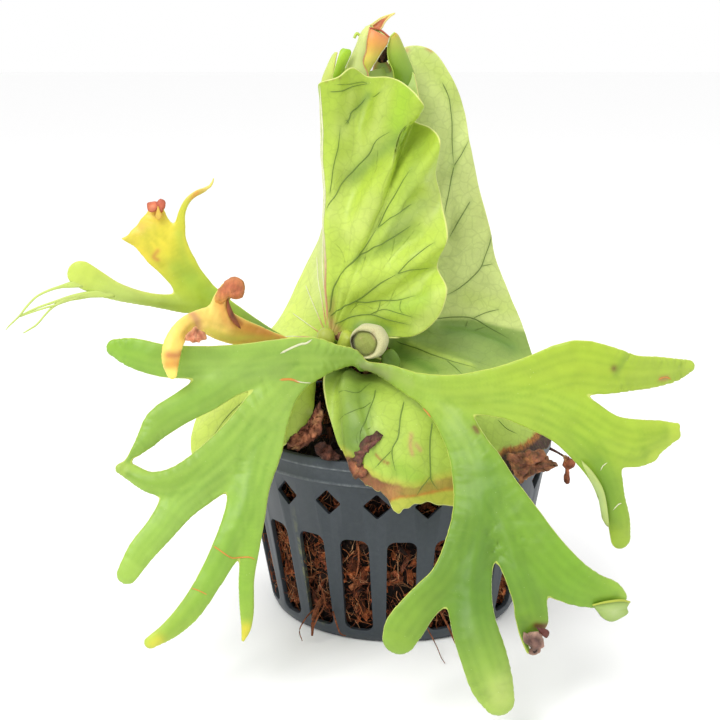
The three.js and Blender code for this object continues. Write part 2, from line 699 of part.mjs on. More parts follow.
// The rolled tip of the young shield: an open scroll round a bent axis
function scrollSolid() {
  const path = smoothPath(ROLL.axis);
  const { steps, turns } = ROLL;
  const places = [];
  const normals = [];
  const faces = [];
  for (let i = 0; i <= steps; i += 1) {
    const { place, value } = path(i / steps);
    for (let k = 0; k <= turns; k += 1) {
      const turn = radians(ROLL.opens + (ROLL.wrap * k) / turns);
      const radius = value * lerp(1, ROLL.tightening, k / turns);
      const outward = new THREE.Vector3(Math.cos(turn), Math.sin(turn), 0);
      places.push(place.clone().addScaledVector(outward, radius));
      normals.push(outward);
    }
  }
  for (let i = 0; i < steps; i += 1) {
    for (let k = 0; k < turns; k += 1) {
      const p = i * (turns + 1) + k;
      const q = p + turns + 1;
      faces.push([p, q, q + 1], [p, q + 1, p + 1]);
    }
  }
  return bladeSolid(places, normals, faces, SHIELD.thickness);
}

function rolledShieldGeometry(rhizomeCut) {
  return geometryFrom(shieldSheet(ROLLED_SHIELD).add(scrollSolid()).subtract(rhizomeCut));
}

// Stem and buds

function rhizomeGeometry() {
  return geometryFrom(ellipsoidSolid(RHIZOME.centre, RHIZOME.radii));
}

function crozierGeometry(rhizomeCut) {
  const { centre, ring, tube, flatten, sides, around } = BUDS.crozier;
  const coil = new THREE.TorusGeometry(ring, tube, sides, around);
  coil.scale(1, flatten, 1);
  coil.rotateX(Math.PI / 2);
  coil.translate(...centre);
  const { centre: heartCentre, radii, around: heartAround, rows } = BUDS.crozierHeart;
  const heart = ellipsoidSolid(heartCentre, radii, heartAround, rows);
  const neck = tubeSolid(BUDS.crozierNeck, 3, 8);
  return geometryFrom(solidFrom(coil).add(heart).add(neck).subtract(rhizomeCut));
}

function knobGeometry(rhizomeCut) {
  const { centre, radii, around, rows } = BUDS.knob;
  const neck = tubeSolid(BUDS.knobNeck, 2, 7);
  return geometryFrom(ellipsoidSolid(centre, radii, around, rows).add(neck).subtract(rhizomeCut));
}

function newShieldGeometry(rhizomeCut) {
  const { centre, radii, around, rows } = BUDS.newShield;
  return geometryFrom(ellipsoidSolid(centre, radii, around, rows).subtract(rhizomeCut));
}

// Assembly

const MATERIALS = {
  darkPlastic: new THREE.MeshStandardMaterial({ color: 0x464e55, roughness: 0.45, metalness: 0 }),
  bark: new THREE.MeshStandardMaterial({ color: 0x6e4228, roughness: 0.95, metalness: 0 }),
  rhizomeScales: new THREE.MeshStandardMaterial({ color: 0x8a5a36, roughness: 0.9, metalness: 0 }),
  frondGreen: new THREE.MeshStandardMaterial({ color: 0x8cb746, roughness: 0.5, metalness: 0 }),
  shieldGreen: new THREE.MeshStandardMaterial({ color: 0xb4cf5a, roughness: 0.5, metalness: 0 }),
  dryBrown: new THREE.MeshStandardMaterial({ color: 0x82502f, roughness: 0.9, metalness: 0 }),
  budFelt: new THREE.MeshStandardMaterial({ color: 0xe3d9b0, roughness: 0.95, metalness: 0 }),
};

function part(name, geometry, material) {
  const mesh = new THREE.Mesh(geometry, material);
  mesh.name = name;
  return mesh;
}

const grownRadii = RHIZOME.radii.map((radius) => radius + GAP);
const rhizomeCut = ellipsoidSolid(RHIZOME.centre, grownRadii);

const fern = new THREE.Group();
fern.add(part('basket', basketGeometry(), MATERIALS.darkPlastic));
fern.add(part('bark_fill', fillGeometry(rhizomeCut), MATERIALS.bark));
fern.add(part('rhizome', rhizomeGeometry(), MATERIALS.rhizomeScales));
fern.add(part('dry_shield_frond', shieldGeometry(DRY_SHIELD, rhizomeCut), MATERIALS.dryBrown));
fern.add(part('back_shield_frond', shieldGeometry(BACK_SHIELD, rhizomeCut), MATERIALS.shieldGreen));
fern.add(part('rolled_shield_frond', rolledShieldGeometry(rhizomeCut), MATERIALS.shieldGreen));
fern.add(part('front_shield_frond', shieldGeometry(FRONT_SHIELD, rhizomeCut), MATERIALS.shieldGreen));
fern.add(part('front_fertile_frond', frontFrondGeometry(rhizomeCut), MATERIALS.frondGreen));
fern.add(part('upper_fertile_frond', upperFrondGeometry(rhizomeCut), MATERIALS.frondGreen));
fern.add(part('crozier', crozierGeometry(rhizomeCut), MATERIALS.budFelt));
fern.add(part('knob_bud', knobGeometry(rhizomeCut), MATERIALS.frondGreen));
fern.add(part('new_shield_bud', newShieldGeometry(rhizomeCut), MATERIALS.shieldGreen));

export default fern;
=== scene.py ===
# A staghorn fern that grows over its slotted basket, with the finished look of every piece.
# Tables are in millimetres, meshes in metres. +Z is up, the front of the plant faces -Y.

import math

import bmesh
import bpy
import numpy as np
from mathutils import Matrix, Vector
from mathutils.bvhtree import BVHTree


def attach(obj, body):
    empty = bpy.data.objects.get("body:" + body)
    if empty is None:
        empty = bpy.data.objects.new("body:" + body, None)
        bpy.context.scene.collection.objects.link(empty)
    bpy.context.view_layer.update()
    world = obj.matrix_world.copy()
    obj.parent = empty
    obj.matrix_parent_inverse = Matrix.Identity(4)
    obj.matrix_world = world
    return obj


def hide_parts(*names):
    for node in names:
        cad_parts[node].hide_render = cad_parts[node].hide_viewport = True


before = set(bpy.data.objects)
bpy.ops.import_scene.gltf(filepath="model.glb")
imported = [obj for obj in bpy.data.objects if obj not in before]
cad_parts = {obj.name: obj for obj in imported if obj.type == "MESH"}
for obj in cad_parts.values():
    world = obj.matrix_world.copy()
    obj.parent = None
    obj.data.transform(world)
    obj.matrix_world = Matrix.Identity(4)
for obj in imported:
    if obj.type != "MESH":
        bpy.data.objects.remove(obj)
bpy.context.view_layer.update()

MM = 0.001

# Camera: where the photograph was taken from

CAMERA_PLACE = (-0.0133, -0.5203, 0.2256)
CAMERA_TILT = 75.74
CAMERA_LENS = 71.35

# Basket sizes, as on the CAD piece

RIM_RADIUS = 60.0
HEIGHT = 72.0
BAND_BOTTOM = 62.4
BASE_RADIUS = 46.3
WALL_RADIUS_AT_FLOOR = 47.1
TAPER = 0.179
WALL = 1.8
FLOOR = 2.0
BAYS = 20
FIRST_BAY = 1.5
SLOT = {"width": 10.5, "bottom": 4.65, "top": 41.6, "corner": 3.0}
DIAMOND = {"width": 10.0, "bottom": 50.5, "top": 60.3}
DRAIN = {"count": 6, "radius": 4.0, "circle": 29.0}

# How far from the axis the cutters of the wall start and end
CUTTER_REACH = (34.0, 70.0)

# Fertile fronds: each lobe is a line of points [x, y, z, half width], from its root to its tip

FRONT_LOBES = {
    "right_upper": [
        [-12, -42, 102, 1.5], [-3, -50, 101, 3.5], [10, -60, 98, 5.5], [26, -68, 100, 6.8], [42, -73, 105, 8],
        [56, -76, 110.2, 9.2], [66, -76, 109, 8.4], [75, -74, 107.6, 6.4], [83, -71, 107.2, 5.6],
        [90, -68, 107.1, 4.3], [95, -65, 107.6, 2.6],
    ],
    "right_middle": [
        [26, -68, 98, 6.5], [42, -74, 98, 8], [56, -78, 94, 8], [67, -80, 88, 7.4], [76, -80, 85.2, 8],
        [82, -79, 86.8, 5.4],
    ],
    "right_corner": [[74, -80, 86.6, 6], [84, -79, 89.2, 3.4], [89.4, -78, 90.9, 1.4]],
    "right_corner_low": [[76, -80, 86, 5], [84, -79, 87, 4.2], [89, -78, 87.6, 2.3]],
    "right_step": [[72, -80, 84, 6], [78.6, -79.4, 81.4, 3.4], [81.6, -79, 80.8, 1.7]],
    "right_hook": [
        [42, -74, 97, 8], [53, -78, 91, 7], [61.4, -81, 83.6, 7], [66.3, -83, 75.6, 5.8],
        [68.6, -84, 67.6, 4.7], [70.8, -84, 61, 4.2], [72, -82, 54, 3.8],
    ],
    "right_inner": [
        [10, -60, 97, 5], [20, -70, 86, 6], [24, -80, 76, 7], [24, -89, 65, 7.5], [20, -96, 56, 7],
        [14, -101, 47, 6], [7, -104, 41, 6], [0.8, -107, 33.6, 6.7], [-0.8, -108, 30.2, 5.9],
    ],
    "right_lowest": [
        [20, -70, 86, 6], [26, -82, 75, 8], [26, -91, 64, 8.5], [23, -99, 54, 7], [21.4, -106, 43, 7.3],
        [22.2, -111, 35.6, 7.5], [25, -116, 27.4, 7.6], [27.4, -120, 20.2, 7.1], [29.4, -121.6, 15.6, 5.4],
    ],
    "right_small": [
        [26, -82, 75, 8], [32, -91, 63, 8.5], [36, -98, 52, 5.6], [39.7, -102, 43, 5.7],
        [41.2, -104, 37.4, 5.4], [42.0, -104.4, 34.4, 4.9],
    ],
    "right_small_edge": [
        [38.4, -103.6, 36, 2.6], [38.3, -104.2, 31, 1.7], [39.1, -104.8, 27.4, 1.3], [40, -105, 25, 1.1],
    ],
    "right_outer": [
        [26, -82, 75, 8], [35.6, -90, 64.4, 8.2], [44.6, -96, 54, 8], [52.4, -99, 46.4, 7.9],
        [60.8, -100, 42.4, 6], [66.8, -100, 41.4, 4.2], [69.8, -99.6, 40.4, 2.4],
    ],
    "left_upper": [
        [-12, -42, 102, 1.5], [-16, -43, 105, 3.5], [-22, -46, 106, 5], [-30, -51, 107, 7],
        [-40, -55, 108, 6.5], [-53, -59, 108, 6], [-66, -62, 108.4, 5.7], [-79, -63, 109, 5.9],
        [-89, -62, 111.4, 5.4], [-94.6, -60, 112.4, 3.6],
    ],
    "left_middle": [
        [-30, -51, 106, 7], [-43, -57, 106, 6.5], [-55, -62, 103, 6.5], [-64, -67, 98.2, 6],
        [-72, -71, 94.6, 5.5], [-79, -74, 90.6, 5.3], [-82.4, -76, 86.6, 3.7], [-85.6, -77, 82.6, 1.7],
    ],
    "left_short": [
        [-30, -51, 105, 5.5], [-38, -56, 98, 5.5], [-46, -64, 90, 7.5], [-54, -72, 83, 7],
        [-64, -78, 76.2, 6.7], [-73, -82, 73.2, 5.2], [-81, -84, 73.2, 3.8], [-87, -84, 75.6, 3],
        [-91, -84, 77.4, 2],
    ],
    "left_long": [
        [-46, -64, 90, 7.5], [-55, -73, 80, 8], [-64.6, -80, 71.8, 7.3], [-71.8, -85, 66.3, 6.3],
        [-77.8, -90, 59.4, 5.2], [-83.4, -94, 53.6, 4.8], [-87.6, -97, 47.2, 3.8],
    ],
    "left_lowest": [
        [-43, -62, 92, 6.5], [-47, -71, 81, 8], [-50, -79, 70, 6.5], [-52, -84, 62, 6],
        [-57.2, -89, 51.2, 5.1], [-63.2, -93, 41, 4.4], [-69.2, -96, 33, 4.2], [-75.2, -98, 27.8, 3.4],
        [-80.6, -99, 24.8, 2.5],
    ],
    "left_narrow": [
        [-47, -71, 81, 7.5], [-49, -78, 70, 6], [-49, -82, 61, 5], [-49, -85, 52, 3.5], [-50.3, -88, 42, 3],
        [-50.3, -89.4, 35.8, 2.9], [-50.2, -90.4, 31, 2.7], [-50.5, -91, 25.8, 2], [-51.5, -91.4, 22.2, 1],
    ],
}

FRONT_STIPE = [[-12.5, -42.5, 101.8, 1.8], [-14.5, -35, 101.7, 1.9], [-17, -25, 99.8, 2]]

UPPER_LOBES = {
    "stalk": [
        [-31, -34, 105, 1.9], [-40, -34, 108.6, 2.3], [-48, -35, 113, 2.8], [-57, -36, 118.8, 3.6],
        [-65, -38, 123.8, 4.7], [-71, -38, 128, 5.8],
    ],
    "point": [
        [-71, -38, 128, 5.4], [-76.4, -38, 136, 6], [-82.6, -38, 142.6, 6.2], [-88, -37, 144.8, 3.8],
        [-92, -36.4, 145.1, 1.9], [-94.8, -36, 145.4, 0.7],
    ],
    "point_side": [[-80, -38, 143, 6], [-84.4, -37.4, 148, 4.4], [-86, -37, 150.2, 3]],
    "point_edge": [[-82, -38, 143, 6], [-87, -37, 146.6, 3.8], [-90, -36.6, 147, 2]],
    "knob": [[-76, -38, 136.4, 6], [-81, -38, 143.6, 6.6], [-82.6, -37, 150, 4.6], [-83, -35, 154.6, 3.2]],
    "horn": [
        [-71, -38, 129, 5], [-75, -38, 137, 4], [-75.6, -38, 145, 2.6], [-74.8, -37, 149.6, 2.2],
        [-74.2, -36, 154, 1.7], [-72.6, -35.6, 157.7, 1.5], [-70.4, -35, 160, 1.4], [-67.9, -34, 161.3, 1.4],
        [-66.2, -33, 161.9, 1.1],
    ],
    "hand": [
        [-65, -37, 123.6, 4], [-74, -39, 122.6, 3.5], [-85, -42, 124.8, 2.7], [-95, -44, 127.8, 3.4],
        [-101.6, -45, 130.8, 4.4], [-107.8, -46, 134.6, 5.1],
    ],
}

# Flat threads: lines of points [x, y, z, half width]

UPPER_THREADS = [
    [
        [-67, -33, 161.8, 0.6], [-64.8, -32.4, 162.9, 0.5], [-63.8, -32, 164.3, 0.35],
        [-63.4, -31.6, 165.6, 0.2],
    ],
    [
        [-104, -45, 132, 1.6], [-111.3, -45.4, 131.2, 1.1], [-114.8, -46, 130.6, 0.6],
        [-118.9, -47, 129.4, 0.45], [-122.6, -48.5, 127.6, 0.4], [-125.8, -50, 124.4, 0.4],
        [-128, -51.5, 121.6, 0.35], [-131.1, -53, 118.7, 0.25], [-132.1, -54, 117.5, 0.15],
    ],
    [
        [-96, -44, 128.2, 1.6], [-105, -45, 127.8, 1.2], [-108.9, -45.6, 127.5, 0.9],
        [-112.9, -46.4, 126.7, 0.7], [-116.2, -47, 125.8, 0.5], [-121.7, -48.8, 124.2, 0.4],
        [-125.2, -50, 122.8, 0.35], [-128, -51.5, 121.5, 0.25],
    ],
    [
        [-105, -44.8, 127.6, 0.5], [-109, -45.4, 126.9, 0.6], [-113.4, -46.6, 125.7, 0.5],
        [-116.2, -47.4, 124.7, 0.4], [-120, -48.6, 123.8, 0.35], [-124.5, -50, 122.5, 0.3],
        [-127.7, -51.4, 121.4, 0.2],
    ],
    [
        [-100, -43.8, 127.9, 0.9], [-104.6, -44.7, 127.5, 0.9], [-109, -45.5, 126.9, 0.9],
        [-112.9, -46.5, 126.2, 0.7], [-116.2, -47.2, 124.7, 0.5], [-118.2, -48, 123.2, 0.4],
        [-119.9, -48.8, 121.4, 0.35], [-122.7, -50, 118.3, 0.35], [-125, -51, 116.9, 0.3],
        [-126.9, -51.6, 115.8, 0.2],
    ],
]

UPPER_STALK = [
    [-19.5, -24.5, 99, 1.8], [-21.5, -28.5, 101, 1.8], [-26, -32.5, 103, 1.9], [-32, -34, 105.5, 2],
    [-37, -34, 108, 1.6],
]

AGEING_LOBES = {
    "strap": [
        [-34, -35, 105.5, 1.6], [-39, -38, 108.8, 2.6], [-48, -44, 112.4, 4.2], [-56, -52, 117.2, 4.8],
        [-62, -58, 121.4, 4.1], [-67, -63, 122.4, 3.4], [-71.2, -67, 120.6, 3.4], [-74.2, -70, 116, 3.6],
        [-75, -71.5, 111, 3.3], [-74.4, -72, 106.8, 2.1],
    ],
    "knob": [
        [-58, -52, 118.4, 4], [-60.2, -53, 123.6, 3.2], [-59.8, -53.5, 127.6, 3.1], [-57.4, -54, 131.2, 3],
    ],
    "belly": [
        [-64.7, -60, 119.8, 3], [-60.9, -56.5, 117.2, 3.5], [-56.3, -51.5, 114.8, 3.3],
        [-50, -46, 112.6, 2.8],
    ],
}

# Shield fronds: a base point, a margin of points [x, y, z, outward bulge of the rib], and for a ruffled one
# the power at which the margin's waves fade towards the base

FRONT_SHIELD = {
    "base": [-24, -20, 105],
    "calm": 3.6,
    "margin": [
        [-3, -28, 109, 0], [6, -31, 110, 1], [14, -33, 117, 2], [17, -34, 127, 3], [14, -25, 134, 0],
        [17, -32, 145, 5], [15, -23, 158, 0], [13, -26, 168, 4], [14, -32, 178, 8], [11, -23, 182, 3],
        [5.5, -17, 184, -3], [8, -31, 191, 8], [2, -26, 197, 6], [-4, -17, 199, 0], [-11, -12, 199, -4],
        [-16, -14, 202, 2], [-21, -18, 199, 4], [-27, -16, 197, 6], [-26.4, -4, 193, 3], [-25.6, 8, 182, 0],
        [-25.6, 18, 165, 0], [-26.4, 24, 148, 0], [-29.4, 27, 134, 2], [-34.6, 25, 124, 2],
        [-39.6, 19, 114, 2], [-46, 10, 104, 3], [-55, 0, 97, 6], [-64.6, -12, 90, 9], [-70.2, -25, 83, 12],
        [-72.8, -37, 75, 14], [-71, -46, 69, 15], [-66, -52, 69, 16], [-59, -56, 69, 16], [-49, -58, 71, 16],
        [-41, -56, 76, 14], [-35, -52, 80, 11], [-30, -46, 85, 8], [-29, -38, 92, 5],
    ],
}

BACK_SHIELD = {
    "base": [-12, -17, 92],
    "calm": 3.0,
    "margin": [
        [-12, 13, 192, 0], [-3, 17, 203, 0], [4, 17, 208.2, 0], [12.6, 16, 207.2, 3], [20, 14, 198, 6],
        [25, 17, 187, 2], [27.4, 11, 173, 6], [30.4, 13, 160, 3], [35.4, 7, 141, 8], [38, 11, 130, 5],
        [42.2, 3, 119, 10], [46.4, -1, 109, 12], [50.6, -10, 97, 18], [57, -22, 83, 26], [55.6, -34, 72, 34],
        [44, -52, 68.4, 40], [31, -61, 62, 41], [17, -66, 59, 40], [9, -68, 61, 40], [3, -69, 59.6, 40],
        [-1, -69, 57.6, 40], [-4.4, -68.4, 63, 39], [-10, -66.6, 65.6, 38], [-15.6, -63.6, 69.6, 36],
        [-18, -60, 74, 32], [-20.6, -57, 78, 26], [-23.2, -52, 84.6, 18], [-25.2, -47, 91.4, 10],
        [-26, -43, 98, 5], [-24, -39, 102.6, 2], [-18, -36, 104.6, 0], [-12, -34, 104, 0],
        [-5, -31, 101.6, 0],
    ],
}

DRY_SHIELD = {
    "base": [-14, -15, 89],
    "knee": {"radius": 67, "z": 95},
    "margin": [
        [-11, -62, 67, 0], [-3, -64, 62, 0], [6, -64, 62, 0], [18, -62, 60, 0], [30, -58, 61, 0],
        [40, -51, 64, 0], [47, -41, 66, 0], [53, -31, 69, 0], [54, -20, 79, 12], [54, -8, 79, 18],
        [54, 8, 79, 20], [51, 22, 79, 18], [42, 36, 78, 18], [28, 47, 79, 18], [10, 53, 78, 18],
        [-8, 54, 80, 16], [-26, 48, 79, 14], [-42, 36, 80, 12], [-52, 20, 79, 12], [-54, 2, 79, 12],
        [-52, -16, 79, 12],
    ],
}

ROLLED_SHIELD = {
    "base": [-20, -14, 104],
    "margin": [
        [8, -5, 190, 0], [5.4, -1, 202, 0], [1.6, 1, 210.5, 0], [-1, 1.6, 213.4, 0], [-6, -1, 206, 0],
        [-14, -4, 201, 0], [-19, -6, 207, 0], [-22, -6, 203, 0], [-23, -6, 194, 0],
    ],
}

POT_CORE = np.array([0.0, 0.0, 60.0])

RHIZOME = {"centre": (-17, -17, 98.5), "radii": (15, 12, 12)}

MOUND = {"top": (-15, -14, 87.6), "shoulder": 69.0}


# Colours, given as screen values from 0 to 255

def colour(red, green, blue, gain=1.0):
    """The linear colour of a screen colour from 0 to 255, brighter by a gain"""
    screen = np.array([red, green, blue]) / 255
    return np.where(screen <= 0.04045, screen / 12.92, ((screen + 0.055) / 1.055) ** 2.4) * gain


LEAF = {
    "lime": colour(178, 206, 62),
    "spring": colour(200, 224, 92),
    "pale": colour(220, 232, 140),
    "cream": colour(243, 244, 200),
    "moss": colour(122, 158, 52),
    "deep": colour(96, 142, 40),
    "sage": colour(194, 212, 112),
    "grey": colour(166, 188, 96),
    "vein": colour(88, 118, 36),
    "pink": colour(226, 164, 118),
    "yellow": colour(252, 228, 66),
    "gold": colour(247, 196, 66),
    "orange": colour(234, 152, 64),
    "brick": colour(200, 104, 66),
    "rust": colour(176, 96, 48),
    "brown": colour(122, 70, 42),
    "umber": colour(66, 34, 24),
    "tan": colour(214, 168, 112),
}


def tone(value):
    """The linear colour of a name in LEAF or of screen values in round brackets. An array stays as it is"""
    if isinstance(value, str):
        return LEAF[value]
    return colour(*value) if isinstance(value, tuple) else value


# Curves and vectors

def unit(vectors):
    """Vectors scaled to length one"""
    vectors = np.asarray(vectors, float)
    return vectors / np.maximum(np.linalg.norm(vectors, axis=-1, keepdims=True), 1e-9)


def smooth_path(points, stations):
    """Places and fourth values on the smooth curve through [x, y, z, value] points, for stations in 0..1"""
    points = np.array(points, float)
    ends = np.vstack([2 * points[0] - points[1], points, 2 * points[-1] - points[-2]])
    last = len(points) - 1
    along = np.clip(np.asarray(stations, float), 0, 1) * last
    index = np.minimum(along.astype(int), last - 1)
    part = (along - index)[:, None]
    p0, p1, p2, p3 = (ends[index + k] for k in range(4))

    def gap(a, b):
        return np.maximum(np.linalg.norm((b - a)[:, :3], axis=1, keepdims=True) ** 0.5, 1e-4)

    d0, d1, d2 = gap(p0, p1), gap(p1, p2), gap(p2, p3)
    leave = ((p1 - p0) / d0 - (p2 - p0) / (d0 + d1) + (p2 - p1) / d1) * d1
    arrive = ((p2 - p1) / d1 - (p3 - p1) / (d1 + d2) + (p3 - p2) / d2) * d1
    square = -3 * p1 + 3 * p2 - 2 * leave - arrive
    cube = 2 * p1 - 2 * p2 + leave + arrive
    curve = p1 + leave * part + square * part ** 2 + cube * part ** 3
    return curve[:, :3], curve[:, 3]


def resample(points, step):
    """A smooth line through 3-D points, with places about one step apart"""
    line = np.column_stack([np.array(points, float), np.zeros(len(points))])
    length = np.linalg.norm(np.diff(line[:, :3], axis=0), axis=1).sum()
    return smooth_path(line, np.linspace(0, 1, max(3, int(length / step) + 1)))[0]


def ease(value, low, high):
    """A smooth step from 0 at low to 1 at high"""
    t = np.clip((value - low) / (high - low), 0, 1)
    return t * t * (3 - 2 * t)


def blend(a, b, share):
    """Mixes two colours or colour lists by a share for each place"""
    a, b = tone(a), tone(b)
    return a + (b - a) * np.asarray(share)[..., None]


def graded(tints, share):
    """Colours along even colour stops, for shares in 0..1"""
    stops = np.array([tone(tint) for tint in tints])
    marks = np.linspace(0, 1, len(stops))
    return np.column_stack([np.interp(share, marks, column) for column in stops.T])


def ripple(places, size, seed):
    """Smooth noise from -1 to 1, made of a few crossed waves"""
    rng = np.random.default_rng(seed)
    total = np.zeros(len(places))
    for _ in range(7):
        direction = unit(rng.normal(size=3))
        wave = size * rng.uniform(0.6, 1.7)
        total += np.sin(places @ direction * (2 * math.pi / wave) + rng.uniform(0, 2 * math.pi))
    return total / 4


# Pieces of mesh: each is a dictionary of places in millimetres, faces and painted values

def piece(places, faces, tint, edge=9.0, dry=0.0):
    """A piece of mesh with a colour, a distance to the leaf's edge and a dryness for each place"""
    count = len(places)
    listed = faces.tolist() if isinstance(faces, np.ndarray) else faces
    return {
        "places": np.asarray(places, float),
        "faces": [tuple(face) for face in listed],
        "tint": np.broadcast_to(np.asarray(tone(tint), float), (count, 3)),
        "edge": np.broadcast_to(np.asarray(edge, float), (count,)),
        "dry": np.broadcast_to(np.asarray(dry, float), (count,)),
    }


def open_rim(faces, count):
    """The places on the open edges of a sheet"""
    sides = faces.shape[1]
    pairs = np.concatenate([faces[:, [k, (k + 1) % sides]] for k in range(sides)])
    keys = pairs.min(1).astype(np.int64) * count + pairs.max(1)
    known, uses = np.unique(keys, return_counts=True)
    single = known[uses == 1]
    return np.unique(np.concatenate([single // count, single % count]))


def blade(places, normals, faces, half):
    """A thin closed leaf round a middle sheet: places, faces and the sheet place that each comes from"""
    count = len(places)
    faces = np.asarray(faces)
    rim = np.zeros(count, bool)
    rim[open_rim(faces, count)] = True
    half = np.where(rim, 0, half)[:, None]
    inner = np.nonzero(~rim)[0]
    behind = np.arange(count)
    behind[inner] = count + np.arange(len(inner))
    solid = np.vstack([places + normals * half, (places - normals * half)[inner]])
    back = behind[faces][:, ::-1]
    return solid, np.vstack([faces, back]), np.concatenate([np.arange(count), inner])


def sheet_normals(grid):
    """The normals of a grid of places, from its rows and columns"""
    across = np.gradient(grid, axis=0)
    along = np.gradient(grid, axis=1)
    return unit(np.cross(across, along))


def grid_faces(rows, columns):
    """The quads of a grid of rows by columns of places"""
    index = np.arange(rows * columns).reshape(rows, columns)
    corners = [index[:-1, :-1], index[1:, :-1], index[1:, 1:], index[:-1, 1:]]
    return np.stack([corner.ravel() for corner in corners], 1)


def circle(count):
    """Even points round a circle of radius one"""
    angle = np.arange(count) * 2 * math.pi / count
    return np.stack([np.cos(angle), np.sin(angle)], 1)


def ring_faces(rows, columns):
    """The quads between closed rings of places, and a face over each end"""
    index = np.arange(rows * columns).reshape(rows, columns)
    turned = np.roll(index, -1, axis=1)
    quads = np.stack([index[:-1], turned[:-1], turned[1:], index[1:]], -1).reshape(-1, 4).tolist()
    return quads + [index[0][::-1].tolist(), index[-1].tolist()]


def tube(points, steps, sides, tint):
    """A round closed tube through [x, y, z, radius] points"""
    line, radius = smooth_path(points, np.linspace(0, 1, steps + 1))
    return tube_along(line, radius, sides, tint)


def tube_along(line, radius, sides, tint):
    """A round closed tube along a line of places"""
    ahead = unit(np.gradient(line, axis=0))
    helper = np.where(np.abs(ahead[:, 2:3]) > 0.9, [[1.0, 0, 0]], [[0, 0, 1.0]])
    side = unit(np.cross(helper, ahead))
    up = np.cross(ahead, side)
    turn = circle(sides)[None]
    ring = turn[..., :1] * side[:, None] + turn[..., 1:] * up[:, None]
    places = line[:, None] + ring * np.asarray(radius)[:, None, None]
    return piece(places.reshape(-1, 3), ring_faces(len(line), sides), tint)


class Surface:
    """A leaf's middle sheet, to lay veins and marks on"""

    def __init__(self, places, faces, half):
        self.faces = np.asarray(faces)
        self.tree = BVHTree.FromPolygons(places.tolist(), self.faces.tolist())
        self.half = half
        self.tint = None

    def seen(self, points):
        """The places on the sheet behind [x, z] points, as seen from the front"""
        found = []
        for x, z in points:
            hit = self.tree.ray_cast(Vector((x, -300.0, z)), Vector((0, 1, 0)))[0]
            if hit is not None:
                found.append(tuple(hit))
        return np.array(found).reshape(-1, 3)

    def near(self, points):
        """The closest places on the sheet, its normals there and the numbers of its corners there"""
        hits = [self.tree.find_nearest(Vector(point)) for point in points]
        places = np.array([tuple(hit[0]) for hit in hits])
        normals = np.array([tuple(hit[1]) for hit in hits])
        corners = self.faces[[hit[2] for hit in hits], 0]
        return places, unit(normals), corners


def distance_to_line(places, line):
    """The distance from each place to a line of close points"""
    nearest = np.full(len(places), np.inf)
    for start in range(0, len(line), 16):
        gaps = places[:, None] - line[None, start:start + 16]
        nearest = np.minimum(nearest, np.sqrt((gaps ** 2).sum(-1)).min(1))
    return nearest


ROUND_VEIN = [(-1, 0), (-0.6, 0.75), (0, 1), (0.6, 0.75), (1, 0), (0, -0.8)]
TENT_VEIN = [(-1, -0.2), (0, 1), (1, -0.2)]

# A vein's thinnest share of its width, and how deep it lies in the leaf
THINNEST = 0.04
VEIN_SINK = 0.03


def ridge(surface, points, width, height, tint, taper=0.35, side=1, section=ROUND_VEIN, step=0.9):
    """A low vein on one side of a sheet that thins out. A number as tint darkens the leaf's own colour"""
    line, normals, corners = surface.near(resample(points, step))
    normals = side * unit(normals + np.roll(normals, 1, axis=0) + np.roll(normals, -1, axis=0))
    across = unit(np.cross(unit(np.gradient(line, axis=0)), normals))
    station = np.linspace(0, 1, len(line))
    swell = np.minimum(1, (1 - station) / taper) ** 0.5 * np.minimum(1, station / 0.05 + 0.2)
    swell = np.maximum(swell, THINNEST)[:, None]
    middle = line + normals * (surface.half - VEIN_SINK)
    rings = [middle + across * width / 2 * swell * u + normals * height * swell * v for u, v in section]
    tint = tone(tint)
    if np.ndim(tint) == 0:
        tint = blend(surface.tint[corners], "vein", np.full(len(line), tint))
    if np.ndim(tint) == 2:
        tint = np.repeat(tint, len(section), axis=0)
    return piece(np.stack(rings, 1).reshape(-1, 3), ring_faces(len(line), len(section)), tint)


SHEET_HALF = 0.45

# The share of a screen colour that a leaf gives back, because the studio's light is more than full white
ALBEDO = 0.72


def placed(name, data):
    """A new object in the scene"""
    made = bpy.data.objects.new(name, data)
    bpy.context.scene.collection.objects.link(made)
    return made


def mesh_object(name, places, faces):
    """A mesh object, from places in millimetres"""
    mesh = bpy.data.meshes.new(name)
    mesh.from_pydata((np.array(places) * MM).tolist(), [], faces)
    mesh.validate()
    return placed(name, mesh)


def joined(parts):
    """Several (places, faces) pairs as one"""
    starts = np.cumsum([0] + [len(places) for places, _ in parts]).tolist()
    faces = []
    for start, (_, more) in zip(starts, parts):
        faces.extend(tuple(corner + start for corner in face) for face in more)
    return np.vstack([places for places, _ in parts]), faces


def paint(mesh, key, values):
    """Stores a number for each place of a mesh"""
    mesh.attributes.new(key, "FLOAT", "POINT").data.foreach_set("value", values.astype(np.float32))


def finished(name, pieces, material, node, smooth=True):
    """Joins pieces into one object that stands for its CAD node and rides with the plant"""
    made = mesh_object(name, *joined([(part["places"], part["faces"]) for part in pieces]))
    mesh = made.data
    tint = np.vstack([part["tint"] for part in pieces])
    values = np.column_stack([np.clip(tint * ALBEDO, 0, 1), np.ones(len(tint))]).astype(np.float32)
    mesh.attributes.new("tint", "FLOAT_COLOR", "POINT").data.foreach_set("color", values.ravel())
    for key in ("edge", "dry"):
        paint(mesh, key, np.concatenate([part[key] for part in pieces]))
    mesh.polygons.foreach_set("use_smooth", np.full(len(mesh.polygons), smooth))
    mesh.update()
    mesh.materials.append(material)
    dress(made, node)


def dress(made, node):
    """Rides a piece on the plant's body and hides the CAD node that it stands for"""
    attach(made, "root")
    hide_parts(node)


# Materials

